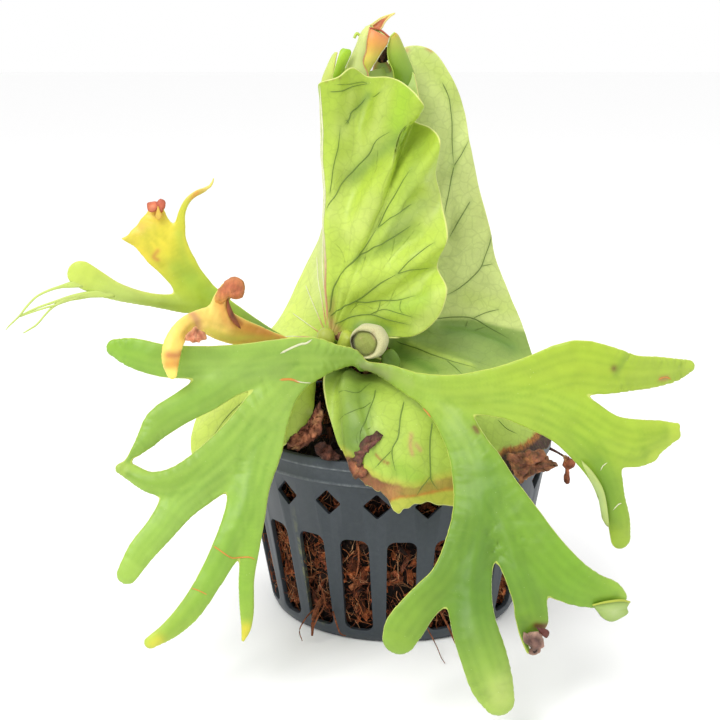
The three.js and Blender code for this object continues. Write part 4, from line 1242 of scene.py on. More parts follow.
def frond_leaf(lobes, looks, washes, grid, seed, veins, vein_seed, back=None):
    """A lobed leaf with its washes and soft veins, as the surface to lay marks on and the closed body"""
    lobes = finer_lobes(lobes)
    places, normals, faces, edge, tint = frond_sheet(lobes, looks, grid, seed)
    surface = Surface(places, faces, FROND_HALF)
    tint = soft_veins(surface, places, tint, lobes, veins, vein_seed)
    tint = washed(surface, places, tint, washes)
    return surface, leaf_body(places, normals, faces, tint, edge, np.zeros(len(places)), FROND_HALF, back)


FRONT_LOOKS = {
    "right_upper": ((168, 202, 76), (180, 208, 54), (186, 212, 72)),
    "right_middle": ((176, 208, 72), (176, 208, 58), (194, 218, 68)),
    "right_corner": ((176, 208, 58), (186, 214, 64), (196, 220, 70)),
    "right_corner_low": ((176, 208, 58), (184, 212, 62), (194, 218, 68)),
    "right_step": ((176, 208, 58), (184, 212, 70), (200, 220, 96)),
    "right_small_edge": ((128, 168, 44), (120, 158, 44), (150, 170, 60)),
    "right_hook": ((178, 208, 62), (140, 180, 46), (168, 198, 58)),
    "right_inner": ((170, 202, 76), (120, 162, 48), (148, 186, 60)),
    "right_lowest": ((140, 182, 56), (106, 152, 40), (174, 206, 84)),
    "right_small": ((128, 170, 44), (118, 164, 44), (128, 168, 44)),
    "right_outer": ((130, 172, 46), (134, 182, 46), (166, 204, 72)),
    "left_upper": ((164, 198, 86), (166, 202, 86), (150, 196, 60)),
    "left_middle": ((156, 196, 66), (156, 197, 74), (166, 202, 80)),
    "left_short": ((170, 204, 86), (156, 194, 70), (170, 206, 80)),
    "left_long": ((168, 204, 88), (168, 208, 88), (176, 214, 86)),
    "left_lowest": ((168, 204, 86), (154, 198, 70), (186, 218, 80)),
    "left_narrow": ((156, 198, 72), (162, 204, 70), (184, 216, 78)),
    "left_sliver": ((160, 200, 76), (166, 200, 84), (186, 204, 96)),
}

# A thin drooping end that only the finished leaf has

FRONT_SLIVER = [
    [-83, -76.5, 85.6, 2.2], [-86.6, -77.5, 82.4, 1.4], [-88.8, -78, 79.6, 1.0], [-90, -78, 77.6, 0.6],
]

FRONT_CRACKS = [
    ([(-40.2, 109.6), (-36.9, 110.9), (-33.6, 111.9), (-31.6, 112.1), (-29.6, 113.2)], 0.8, "cream"),
    ([(-40.6, 100.6), (-36.9, 100.4), (-33.6, 98.9), (-29.5, 98.0)], 0.9, "orange"),
    ([(-37.0, 100.4), (-33.6, 99.2), (-30.0, 98.3)], 0.45, "cream"),
    (
        [(-60.8, 53.5), (-57.9, 51.8), (-55.1, 49.5), (-52.3, 49.0), (-49.1, 49.0), (-47.4, 47.9)],
        0.5, "orange",
    ),
    ([(-67.6, 41.0), (-65.1, 40.4), (-62.3, 38.8)], 0.4, "orange"),
    ([(83.5, 104.8), (86.0, 105.5), (88.7, 104.4)], 0.4, "orange"),
    ([(8.1, 92.0), (9.4, 90.7), (10.7, 89.4)], 0.5, "orange"),
    ([(64.5, 77.1), (65.2, 78.7), (66.8, 79.6)], 0.35, "cream"),
    ([(68.4, 64.4), (70.2, 66.5), (71.5, 66.8)], 0.4, "cream"),
]

# The dark green lines from (28, 76) and (34, 66) are painted shade where the lower right lobes part, and the
# one from (64, 80) is painted shade beside the hook's fold
FRONT_WASHES = [
    ([(68.4, 109.8)], 1.1, "brown", 0.9),
    ([(24.5, 88.0), (25.5, 87.0)], 1.0, "brown", 0.9),
    ([(-79.6, 24.6), (-78, 25.6)], 2.2, "yellow", 0.55),
    ([(-51, 23), (-50.5, 26)], 2.4, "yellow", 0.75),
    ([(30, 17), (29.6, 20)], 4.0, "pale", 0.4),
    ([(-12, 101.6), (-4, 100.4)], 2.6, (140, 146, 96), 0.75),
    ([(-4, 102), (4, 99.5)], 2.0, "grey", 0.5),
    ([(-40, 104), (-62, 104)], 4.0, (176, 208, 108), 0.35),
    ([(28, 76), (26, 60), (25, 48)], 5.0, (100, 146, 40), 0.45),
    ([(34, 66), (44, 55)], 4.0, (124, 170, 44), 0.3),
    ([(64, 80), (67, 70), (69, 62)], 2.4, (118, 160, 44), 0.45),
    ([(84.6, 105.1), (86.8, 105.1)], 0.9, (190, 130, 84), 0.85),
    ([(72.4, 114.4), (70.6, 111), (69, 108)], 1.3, "moss", 0.45),
    ([(42.4, 33.4), (45.8, 32.6)], 1.1, (126, 56, 46), 0.9),
]

OUTER_FLAP = [
    [60.4, -100.6, 38.6], [62.9, -101.2, 39.7], [66.6, -101.4, 40.7], [70.8, -101, 40.7],
    [72.3, -100.4, 39.5], [71.7, -99.8, 37.4], [72.2, -99.6, 35.6], [70.1, -99.2, 33.6], [67, -99, 32.2],
    [64.1, -99.2, 33.6], [62.1, -99.8, 36.2],
]
OUTER_CREASE = [
    [60.4, -101.2, 38.9, 0.3], [64.4, -102.2, 40.4, 0.4], [69.4, -102.2, 41, 0.4], [72.2, -101, 39.9, 0.3],
]
HOOK_FLAP = [
    [58.2, -81, 80.6], [61.4, -83.4, 77.8], [64.8, -85.4, 72.6], [66.4, -86.2, 66.4], [67, -86.2, 59.6],
    [65.8, -84.6, 60.6], [64.6, -84, 67.8], [61.4, -82.6, 74.4],
]
BROWN_TIP = [
    [38.2, -105.4, 31], [40.2, -106.2, 32], [42.2, -106.4, 32.4], [44.1, -106.2, 31.3], [44.6, -105.8, 28],
    [44, -105.6, 25.8], [42.6, -105.4, 24.2], [40.2, -105.2, 23.8], [40.8, -105.6, 26], [39.4, -105.6, 27.8],
    [38.3, -105.4, 28.6],
]
# A dark patch in the hollow of the curled brown tip: painted shade
TIP_HOLLOW_SHADE = [[40.9, -106.8, 27], [42.2, -107.2, 27.4], [42.6, -106.8, 25.6], [41.6, -106.4, 24.8]]
RED_END = [
    [42, -105.6, 33.6], [44.6, -105.6, 33.2], [46.6, -105.2, 31.6], [45.6, -105.6, 29.8], [44.2, -106, 30.6],
]

# Flaps and curled ends: outline, dome, colours from middle to rim, and then the optional values of scrap

FRONT_SCRAPS = [
    (OUTER_FLAP, 1.2, [(196, 216, 140), (182, 208, 118), (160, 190, 84)], 0.0),
    (HOOK_FLAP, 0.7, [(176, 200, 126), (196, 214, 120)], 0.0),
    (BROWN_TIP, 1.5, [(146, 108, 96), (120, 84, 74), (192, 152, 132)], 0.4, 0.4, 0.5, 9),
    # Painted shade in the curled tip's hollow
    (TIP_HOLLOW_SHADE, 0.1, [LEAF["umber"] * 0.5, "umber"], 0.4, 0.2),
    (RED_END, 0.5, [(122, 58, 50), (104, 52, 44)], 0.4, 0.3, 0.3),
]


def make_front_frond():
    """The large forked frond in front, with its cracks, spots, folded flaps and dry curled tip"""
    lobes = {**FRONT_LOBES, "left_sliver": FRONT_SLIVER}
    surface, body = frond_leaf(lobes, FRONT_LOOKS, FRONT_WASHES, 0.72, 21, 0.3, 23, "sage")
    pieces = [body, tube(FRONT_STIPE, 10, 12, "moss")]
    for points, width, shade in FRONT_CRACKS:
        pieces.append(ridge(surface, surface.seen(points), width, 0.22, shade, 0.2))
    pieces += [scrap(*row) for row in FRONT_SCRAPS]
    pieces.append(tube(OUTER_CREASE, 24, 8, (190, 200, 70)))
    material = leaf_material("fertile_leaf", 420, 0.02, (218, 232, 110, ALBEDO), 0.3, mottle=0.05)
    finished("front_fertile_frond_leaf", pieces, material, "front_fertile_frond")


def facing_front(places, triangles):
    """Triangles turned to face the front, and their smooth normals"""
    a, b, c = (places[triangles[:, k]] for k in range(3))
    face = np.cross(b - a, c - a)
    total = np.zeros_like(places)
    for k in range(3):
        np.add.at(total, triangles[:, k], face)
    normals = unit(total)
    if normals[:, 1].mean() > 0:
        return triangles[:, ::-1], -normals
    return triangles, normals


def scrap(outline, dome, tints, dry=1.0, half=0.35, wrinkle=0.0, seed=3, rings=8):
    """A flap of leaf from its outline, domed towards the front and coloured from its middle to its rim"""
    around = resample(np.array([*outline, outline[0]], float), 0.7)[:-1]
    if wrinkle:
        around[:, 0] += min(wrinkle, 0.6) * ripple(around, 2.2, seed + 2)
        around[:, 2] += min(wrinkle, 0.6) * ripple(around, 1.9, seed + 3)
    count = len(around)
    centre = around.mean(0)
    share = np.linspace(0, 1, rings + 1)[1:]
    grid = centre + (around - centre)[None] * share[:, None, None]
    grid[..., 1] -= dome * (1 - share[:, None] ** 2)
    places = np.vstack([centre - [0, dome, 0], grid.reshape(-1, 3)])
    if wrinkle:
        places[:, 1] -= wrinkle * ripple(places, 3.4, seed) + 0.5 * wrinkle * ripple(places, 1.6, seed + 1)
    index = 1 + np.arange(rings * count).reshape(rings, count)
    after = np.roll(index, -1, axis=1)
    fan = np.stack([np.zeros(count, int), index[0], after[0]], 1)
    lower = np.stack([index[:-1], index[1:], after[1:]], -1).reshape(-1, 3)
    upper = np.stack([index[:-1], after[1:], after[:-1]], -1).reshape(-1, 3)
    triangles, normals = facing_front(places, np.vstack([fan, lower, upper]))
    shade = graded(tints, np.concatenate([[0], np.repeat(share, count)]))
    if wrinkle:
        patchy = 0.5 * ripple(places, 1.8, seed + 4) + 0.4 * ripple(places, 4, seed + 5)
        shade = shade * np.clip(1.05 + min(wrinkle, 0.8) * patchy, 0.45, 1.6)[:, None]
    solid, faces, source = blade(places, normals, triangles, np.full(len(places), half))
    return piece(solid, faces, shade[source], 9.0, dry)


def petal(left, right, bow, tints, half=0.4):
    """A leaf tip between two edge lines, bowed towards the front"""
    rows, columns = 34, 16
    step = np.linspace(0, 1, rows)
    sides = [smooth_path([[*point, 0] for point in line], step)[0] for line in (left, right)]
    width = np.linalg.norm(sides[1] - sides[0], axis=1)[:, None]
    across = np.linspace(0, 1, columns)[None, :]
    grid = sides[0][:, None] + (sides[1] - sides[0])[:, None] * across[..., None]
    grid[..., 1] -= bow * width * 4 * across * (1 - across)
    return grid_leaf(grid, tints, half)


def strip(points, tints, half=0.3):
    """A thin flat strip through [x, y, z, half width] points that faces the front"""
    rows, columns = 44, 7
    line, width = smooth_path(points, np.linspace(0, 1, rows))
    across = unit(np.cross(np.gradient(line, axis=0), [0.0, 1.0, 0.0]))
    share = width[:, None] * np.linspace(-1, 1, columns)
    return grid_leaf(line[:, None] + across[:, None] * share[..., None], tints, half, 9.0)


def grid_leaf(grid, tints, half, least=0.0):
    """A thin closed leaf from a grid of places, coloured from its first row to its last"""
    rows, columns = grid.shape[:2]
    places = grid.reshape(-1, 3)
    faces = grid_faces(rows, columns)
    triangles, normals = facing_front(places, np.vstack([faces[:, [0, 1, 2]], faces[:, [0, 2, 3]]]))
    shade = graded(tints, np.repeat(np.linspace(0, 1, rows), columns))
    across = np.linspace(0, 1, columns)[None, :]
    width = np.linalg.norm(grid[:, -1] - grid[:, 0], axis=1)[:, None]
    edge = (np.minimum(across, 1 - across) * width).ravel()
    body = leaf_body(places, normals, triangles, shade, edge, np.zeros(len(places)), half)
    body["edge"] = np.maximum(body["edge"], least)
    return body


# Upper frond

UPPER_LOOKS = {
    "stalk": ("moss", (150, 186, 62), (186, 212, 60)),
    "point": ((200, 220, 60), "yellow", (250, 224, 84)),
    "point_side": ("yellow", (250, 232, 76), (250, 222, 90)),
    "point_edge": ("yellow", (250, 232, 76), (250, 222, 90)),
    "knob": ((226, 224, 60), (250, 232, 66), "gold"),
    "horn": ((196, 218, 56), (226, 230, 70), (244, 208, 110)),
    "hand": ((186, 212, 86), (206, 226, 116), (212, 232, 96)),
}

# Gains of 1.2 and 1.3 lift the ageing lobes above their own colour: painted light, as they face away from the
# lamps
AGEING_LOOKS = {
    "strap": ((244, 172, 84), colour(255, 206, 104) * 1.3, colour(255, 222, 108) * 1.3),
    "knob": (colour(255, 224, 116) * 1.3, colour(255, 208, 108) * 1.2, (252, 188, 94)),
    "belly": (colour(255, 226, 120) * 1.3, colour(255, 222, 114) * 1.3, colour(255, 200, 96) * 1.2),
}

UPPER_WASHES = [
    ([(-82.4, 141.6), (-83.8, 139.4), (-82.6, 138.6)], 0.8, (214, 134, 66), 0.7),
    ([(-82.6, 153.5), (-82.8, 156)], 0.8, "brick", 0.9),
    ([(-95, 144), (-88, 149)], 2.0, "pink", 0.35),
    ([(-70, 133), (-74, 141), (-75, 147)], 1.6, (178, 206, 70), 0.4),
    ([(-62, 124), (-70, 130), (-76, 136)], 3.0, (150, 190, 60), 0.5),
    ([(-50, 114), (-40, 109)], 3.0, (128, 166, 84), 0.6),
    ([(-70.5, 159), (-69, 161)], 1.0, "orange", 0.7),
]

AGEING_WASHES = [
    ([(-69, 124.6), (-67.6, 122.6), (-67.2, 119)], 1.6, "pink", 0.85),
    ([(-75.3, 112.9), (-73.6, 112.6), (-72.1, 112.7)], 1.5, "brick", 0.8),
    ([(-75.5, 110), (-73, 110)], 1.7, "orange", 0.8),
    ([(-59.6, 126), (-58.6, 121)], 1.8, "orange", 0.6),
    ([(-57.6, 128.2), (-57.1, 124.0), (-53.7, 118.7)], 0.9, "brown", 0.95),
    ([(-64, 118), (-58, 114.5), (-50, 113.5), (-44, 112)], 1.2, (255, 236, 110), 0.8),
    ([(-56, 119.6), (-50, 116), (-45, 113.6)], 2.2, (236, 150, 70), 0.75),
]

# Folded and curled bits of the upper frond, as outlines seen from the front

ROLLED_END = [
    [-63.1, -53, 126.3], [-61.8, -54, 129], [-60.5, -55, 131.5], [-58.9, -56, 133.2], [-57, -56, 135.5],
    [-55, -56, 136], [-53, -56, 135.3], [-51.7, -55, 132.8], [-51.7, -55, 130.4], [-52.7, -54, 128.3],
    [-54.2, -54, 127.9], [-56, -54, 128.7], [-57.8, -54, 129], [-58.8, -53, 127], [-60.2, -53, 125.2],
]
ROLLED_END_WASH = [
    ([[-63, -53, 126], [-61, -54, 127.6], [-59, -54, 128]], 2.4, (248, 190, 84), 0.9),
    ([[-56, -56, 134], [-53, -56, 132]], 0.8, (176, 84, 56), 0.6),
]
INNER_FOLD = [
    [-57.8, -54.2, 128.8], [-57.6, -54.4, 123.5], [-56, -53.8, 120.2], [-53.4, -52, 117.4],
    [-54.9, -52.6, 121], [-56.4, -53.6, 124.6],
]
CURLED_LEFT = [
    [-85.8, -37, 155.2], [-85.7, -37.2, 157.6], [-83.8, -37.4, 158.3], [-82, -37.6, 158.4],
    [-82.2, -37.6, 155.6], [-84, -37.2, 154.4],
]
CURLED_RIGHT = [
    [-82.6, -37.4, 157.8], [-81.2, -37.4, 159.2], [-79.7, -37.4, 158.8], [-79.6, -37.4, 156.7],
    [-80.6, -37.4, 154.6], [-81.8, -37.2, 155.4],
]
CURLED_PEAK = [
    [-82.9, -38, 153.6], [-82.3, -38.2, 155.6], [-81.8, -38.3, 157.2], [-81.2, -38.2, 155.4],
    [-80.6, -38, 153.4], [-82, -37.8, 152],
]
CRUMPLED_SIDE = [
    [-70.4, -68, 117.6], [-68.7, -67.6, 120.4], [-66.9, -66.4, 121.2], [-64.4, -65, 119.4],
    [-63.9, -64.8, 117.6], [-65.8, -65.6, 116.4], [-68, -66.8, 116.4],
]
THREAD_WEB = [
    [-105.6, -44.8, 127.8], [-111.6, -46.1, 127.2], [-116.2, -47, 125.9], [-116.8, -47.2, 124.7],
    [-113.7, -46.7, 125.2], [-109, -45.9, 126.6],
]
UPPER_SCRAPS = [
    (THREAD_WEB, 0.0, [(218, 232, 130), (206, 224, 110)], 0.0, 0.25),
    (INNER_FOLD, 0.4, ["brown", (176, 92, 50)], 0.4, 0.3),
    (CURLED_LEFT, 0.2, [(250, 160, 120), (232, 130, 92), (200, 100, 70)], 0.0, 0.3, 0.3),
    (CURLED_RIGHT, 0.9, [(216, 112, 80), (190, 92, 66)], 0.0, 0.35, 0.2),
    (CURLED_PEAK, 0.2, [(248, 214, 84), (238, 190, 80)], 0.0, 0.2),
    (CRUMPLED_SIDE, 0.8, [(240, 168, 126), (222, 132, 92), "pink"], 0.3, 0.3, 0.6),
]


def make_upper_frond():
    """The upper left frond: green to yellow, with dry curled ends, threads and a dying branch"""
    pieces = [
        frond_leaf(UPPER_LOBES, UPPER_LOOKS, UPPER_WASHES, 0.55, 31, 0.2, 32)[1],
        frond_leaf(AGEING_LOBES, AGEING_LOOKS, AGEING_WASHES, 0.55, 41, 0.2, 42)[1],
        tube(UPPER_STALK, 16, 12, (122, 162, 76)),
        strip(UPPER_THREADS[0], [(248, 220, 110), (238, 232, 120)]),
    ]
    for thread in UPPER_THREADS[1:]:
        pieces.append(strip(thread, [(206, 228, 110), (214, 232, 128), (206, 226, 124)]))
    cap = scrap(ROLLED_END, 2.4, [(226, 140, 90), (208, 116, 74), (222, 142, 88)], 0.3, 0.4, 0.3)
    cap["tint"] = washed(None, cap["places"], cap["tint"], ROLLED_END_WASH)
    pieces += [cap] + [scrap(*row) for row in UPPER_SCRAPS]
    material = leaf_material("ageing_leaf", 460, 0.02, (244, 240, 130, ALBEDO), 0.28, mottle=0.05)
    finished("upper_fertile_frond_leaf", pieces, material, "upper_fertile_frond")


# Shield fronds

RIB_START = 0.02
CALM_SAMPLES = 600
CALM_SPREAD = 1.3

# Raised veins: their height and how much they darken the leaf, and the gap between the fan of fine ones
HAND_VEIN = (0.2, 0.72)
FAN_VEIN = (0.08, 0.12)
FAN_GAP = 9.0


def calm_margin(shield, around):
    """The margin without its small waves, and the bulge of the ribs that reach it"""
    share = np.linspace(0, 1, CALM_SAMPLES)
    place, bulge = smooth_path(shield["margin"], share)
    line = np.column_stack([place, bulge])
    spread = CALM_SPREAD / (len(shield["margin"]) - 1) * (CALM_SAMPLES - 1)
    reach = int(3 * spread)
    before = 2 * line[0] - line[reach:0:-1]
    after = 2 * line[-1] - line[-2:-reach - 2:-1]
    padded = np.vstack([before, line, after])
    bell = np.exp(-0.5 * (np.arange(-reach, reach + 1) / spread) ** 2)
    bell = bell / bell.sum()
    calm = [np.convolve(column, bell, "valid") for column in padded.T]
    calm = np.column_stack([np.interp(around, share, column) for column in calm])
    return calm[:, :3], calm[:, 3]


def shield_point(shield, around, along):
    """Places on a shield for shares round its margin and along its ribs"""
    base = np.array(shield["base"], float)
    r = np.asarray(along)[:, None]
    place, bulge = smooth_path(shield["margin"], around)
    wave = 0
    if "calm" in shield:
        calm, bulge = calm_margin(shield, around)
        wave = (place - calm) * r ** shield["calm"]
        place = calm
    rib = place - base
    middle = base + rib / 2
    outward = middle - POT_CORE
    outward = unit(outward - rib * ((outward * rib).sum(1) / (rib * rib).sum(1))[:, None])
    control = middle + outward * bulge[:, None]
    if "knee" in shield:
        reach = shield["knee"]["radius"] / np.hypot(place[:, 0], place[:, 1])
        knee = np.column_stack([place[:, :2] * reach[:, None], np.full(len(place), shield["knee"]["z"])])
        share = np.clip((HEIGHT + 4 - place[:, 2]) / 8, 0, 1)[:, None]
        control = control + (knee - control) * share
    return base * (1 - r) ** 2 + control * 2 * r * (1 - r) + place * r ** 2 + wave


def shield_sheet(shield, around, along, ragged=None):
    """A shield's middle sheet: places, normals, faces, distances to the margin and shares of the ribs"""
    share = np.linspace(0, 1, around)
    step = np.linspace(0, 1, along)
    rib = RIB_START + (1 - RIB_START) * (1 - (1 - step) ** 1.5)
    reach = np.ones(around) if ragged is None else 1 - ragged(share)
    r = np.tile(rib, around) * np.repeat(reach, along)
    grid = shield_point(shield, np.repeat(share, along), r).reshape(around, along, 3)
    normals = sheet_normals(grid)
    if ((grid - POT_CORE) * normals).sum(-1).mean() < 0:
        normals = -normals
    length = np.linalg.norm(np.diff(grid, axis=1), axis=2)
    edge = np.concatenate([length[:, ::-1].cumsum(1)[:, ::-1], np.zeros((around, 1))], 1).ravel()
    faces = grid_faces(around, along)
    places, normals = grid.reshape(-1, 3), normals.reshape(-1, 3)
    a, b, c = (places[faces[:, k]] for k in range(3))
    if (np.cross(b - a, c - a) * normals[faces[:, 0]]).sum(1).mean() < 0:
        faces = faces[:, ::-1]
    return places, normals, faces, edge, r


S1_VEINS = [
    ([(-24.9, 152.5), (-20.3, 161.3), (-15.1, 166.9), (-9.8, 172.6), (-7.4, 177.4), (-2.4, 181.0)], 0.5),
    ([(-23.9, 158.4), (-22.4, 169.2), (-21.0, 175.0), (-20.3, 181.9)], 0.35),
    ([(-24.3, 113.9), (-22.9, 124.7), (-20.5, 128.7), (-15.1, 135.7), (-11.5, 140.4), (-7.0, 147.0)], 0.65),
    ([(-7.0, 147.0), (-3.5, 154.5), (1.3, 162.9), (4.5, 168)], 0.45),
    ([(-7.0, 147.0), (0.6, 153.1), (4.8, 156.0)], 0.4),
    ([(-15.1, 135.7), (-8.1, 140.4), (-1.0, 144.5), (4.9, 148.6)], 0.5),
    ([(-24.1, 114.6), (-18.6, 118.8), (-13.3, 121.8), (-6.2, 127.5), (0.0, 131.5)], 0.6),
    ([(0.0, 131.5), (4.2, 136.3), (9.3, 140.4), (13.0, 143.2)], 0.4),
    ([(0.0, 131.5), (4.9, 133.3), (11.3, 133.4)], 0.4),
    ([(-15.2, 120.6), (-11.0, 120.4), (-6.9, 121.2), (0.8, 121.8), (7.0, 124.0)], 0.45),
    ([(-22.3, 111.8), (-16.9, 114.6), (-9.7, 115.9), (-2.7, 114.9), (5.0, 113.6)], 0.4),
    ([(-9.7, 115.9), (-5, 118), (1, 117.5), (6, 116.5)], 0.3),
    ([(-6.0, 121.4), (-6.5, 118.2), (-8, 116.0)], 0.22),
    ([(1.5, 122.0), (1.0, 119.0), (2.0, 117.4)], 0.22),
    ([(-23.7, 193.9), (-19.5, 194.2), (-16.1, 195.4), (-10.5, 196.3)], 0.4),
    ([(-22.0, 196.4), (-17, 196.3), (-12.5, 196.9), (-10.5, 196.3)], 0.22),
    ([(-18.5, 182.6), (-17.2, 184.6), (-16.6, 186.6), (-15.3, 187.6), (-13.2, 189.2), (-11.0, 191.6)], 0.55),
    ([(-18.9, 184.0), (-17.4, 183.4), (-18.2, 182.2)], 0.3),
    ([(-5.8, 193.6), (-7.2, 192.4), (-8.8, 191.6)], 0.4),
    ([(-51.5, 90.3), (-57, 86), (-65.2, 75.8)], 0.35),
    ([(-45, 100), (-52, 96), (-63, 88)], 0.35),
    ([(-42, 96), (-48, 86), (-55, 75)], 0.35),
    ([(-37, 101), (-45, 108), (-52, 110)], 0.3),
]

S1_FOLDS = [
    ([(-16.1, 161.0), (-10.5, 167.5), (-4.4, 174.0), (1.7, 179.4)], 5.5, -2.4),
    ([(-16.9, 147), (-10.6, 153), (-4, 160), (4, 168)], 6.0, 1.5),
    ([(-13.3, 133.3), (-6.3, 138.3), (0.8, 142.2), (7.7, 146.3)], 4.6, -1.3),
    ([(-4.6, 149.3), (0.6, 153.9), (6.9, 157.7), (11.7, 162.5)], 5.0, -1.2),
    ([(-7.0, 194.8), (-11.2, 189.8), (-16.1, 185.0)], 4.4, -1.4),
    ([(-5.0, 192), (-6.4, 186), (-8.4, 179)], 4.5, 1.3),
    ([(-16.8, 189), (-18.0, 183), (-19, 176)], 3.6, 0.8),
    ([(-16.8, 126.1), (-8, 131), (4, 136)], 4.4, 1.0),
    ([(-14, 118), (-2, 122), (8, 126)], 3.8, -0.9),
    ([(-12, 113.5), (-2, 112.5), (8, 113.5)], 3.4, -0.8),
    ([(11.0, 161.1), (9.4, 153.9), (6.0, 148.6)], 4.0, 0.9),
    ([(-52, 95), (-58, 88), (-66, 80)], 5.0, 0.9),
]

# Most washes here are painted light and shade. The darker greens are painted shade in the valleys of the
# folds and pleats.
# The pale, grey, sage and spring lines are painted highlights and sheen on the ridges. The brown and pink
# marks are the leaf's own colour.
S1_WASHES = [
    ([(7, 174), (4.4, 165), (1.4, 154), (-3.6, 142)], 4.2, (160, 190, 76), 0.6),
    ([(-8, 122), (2, 127), (8, 131)], 8.0, "lime", 0.4),
    ([(-16.1, 164.1), (-10.5, 168.9), (-4.4, 174.6), (1.7, 179.4)], 3.2, "moss", 0.75),
    ([(-4.6, 168.9), (0.6, 170.5), (5, 173)], 4.5, "lime", 0.5),
    ([(-13.3, 135.3), (-6.3, 139.3), (0.8, 142.2), (7.7, 146.3)], 2.2, "moss", 0.45),
    ([(-1.1, 146.4), (4.2, 151.2), (9.0, 155.7)], 3.4, "grey", 0.75),
    ([(11, 150), (13, 158), (11, 165)], 3.0, "sage", 0.8),
    ([(-10.2, 192.3), (-12.5, 189.6), (-16.1, 185.6)], 1.6, "moss", 0.6),
    ([(-16.1, 191.9), (-17.1, 187.2), (-18.9, 181.1)], 4.0, "pale", 0.4),
    ([(-5.0, 194.2), (-6.4, 188.1), (-8.4, 181.1), (-11.9, 173.9)], 5.0, "pale", 0.35),
    ([(-18.6, 167.1), (-20.3, 160.2), (-22.5, 151.6)], 4.0, "pale", 0.35),
    ([(-16.9, 145.1), (-12.6, 149.1), (-9.1, 156.2)], 4.5, "pale", 0.4),
    ([(-21.1, 121.5), (-16.8, 127.1), (-11.5, 132.2)], 2.6, "spring", 0.7),
    ([(5.9, 140.5), (10.4, 144.8), (13.8, 149.4)], 2.6, "spring", 0.5),
    ([(13.2, 123.9), (11.8, 118.5), (7.8, 113.5)], 3.4, "pale", 0.4),
    ([(2.0, 193.8), (1.0, 188.8), (-0.3, 183.8)], 4.0, (168, 214, 40), 0.6),
    ([(-4.7, 163.2), (-9.8, 156.3)], 3.2, "lime", 0.3),
    ([(-1.0, 119.3), (4.2, 120.5), (9.4, 123.6)], 3.4, (150, 200, 40), 0.4),
    ([(-14.0, 111.1), (-9.0, 112.2), (-3.4, 111.2)], 2.4, "deep", 0.7),
    ([(-24, 112), (-22, 110)], 2.2, "pink", 0.7),
    ([(-24, 113), (-23.5, 120)], 1.6, "pink", 0.4),
    ([(-34.1, 92.5), (-36.7, 85.3), (-38.9, 77.9)], 4.0, (168, 198, 64), 0.6),
    ([(-30.6, 86), (-33, 80), (-38, 76)], 1.4, "pale", 0.6),
    ([(-51.5, 90.3), (-58.3, 84.1), (-65.2, 75.8)], 7.0, "spring", 0.5),
    ([(-24.8, 197.6)], 0.7, "brown", 0.6),
    ([(-22.6, 198.2)], 0.6, "brown", 0.6),
    ([(-20.4, 198.6)], 0.6, "brown", 0.5),
]

FRONT_RIDGES = [
    (17.0, 0.1, 0.99, 0.9), (17.5, 0.12, 0.99, 0.6), (19.2, 0.14, 0.9, 0.45), (20.3, 0.14, 0.9, 0.45),
    (21.2, 0.14, 0.9, 0.45), (22.1, 0.14, 0.85, 0.45), (23.2, 0.14, 0.8, 0.4), (24.4, 0.14, 0.75, 0.4),
    (25.8, 0.16, 0.8, 0.35),
]


def fan_veins(shield, spacing, seed):
    """Veins that fork from the base out to the margin and stay a steady gap apart"""
    rng = np.random.default_rng(seed)
    share = np.linspace(0, 1, CALM_SAMPLES)
    rim = shield_point(shield, share, np.ones(CALM_SAMPLES))
    length = np.concatenate([[0], np.linalg.norm(np.diff(rim, axis=0), axis=1).cumsum()])
    count = 6
    lines = [(k / count, k / count, 0.08) for k in range(1, count)]
    while 2 * spacing * count / length[-1] < 0.9:
        start = 2 * spacing * count / length[-1]
        for k in range(count):
            own = (k + rng.uniform(0.4, 0.6)) / count
            parent = (k + (0 if k and rng.random() < 0.5 else 1)) / count
            parent = min(max(parent, 1 / count), 1 - 1 / count)
            lines.append((own, parent, start * rng.uniform(0.9, 1.15)))
        count *= 2

    def laid(position, radius):
        return shield_point(shield, np.interp(position * length[-1], length, share), radius)

    veins = []
    for own, parent, start in lines:
        radius = np.linspace(start, rng.uniform(0.93, 0.985), 24)
        position = parent + (own - parent) * ease(radius, start, start + 0.2)
        position = position + 0.0016 * np.sin(radius * rng.uniform(14, 26) + rng.uniform(0, 6)) * radius
        veins.append((laid(np.clip(position, 0.004, 0.996), radius), 0.42 - 0.14 * start))
    return veins


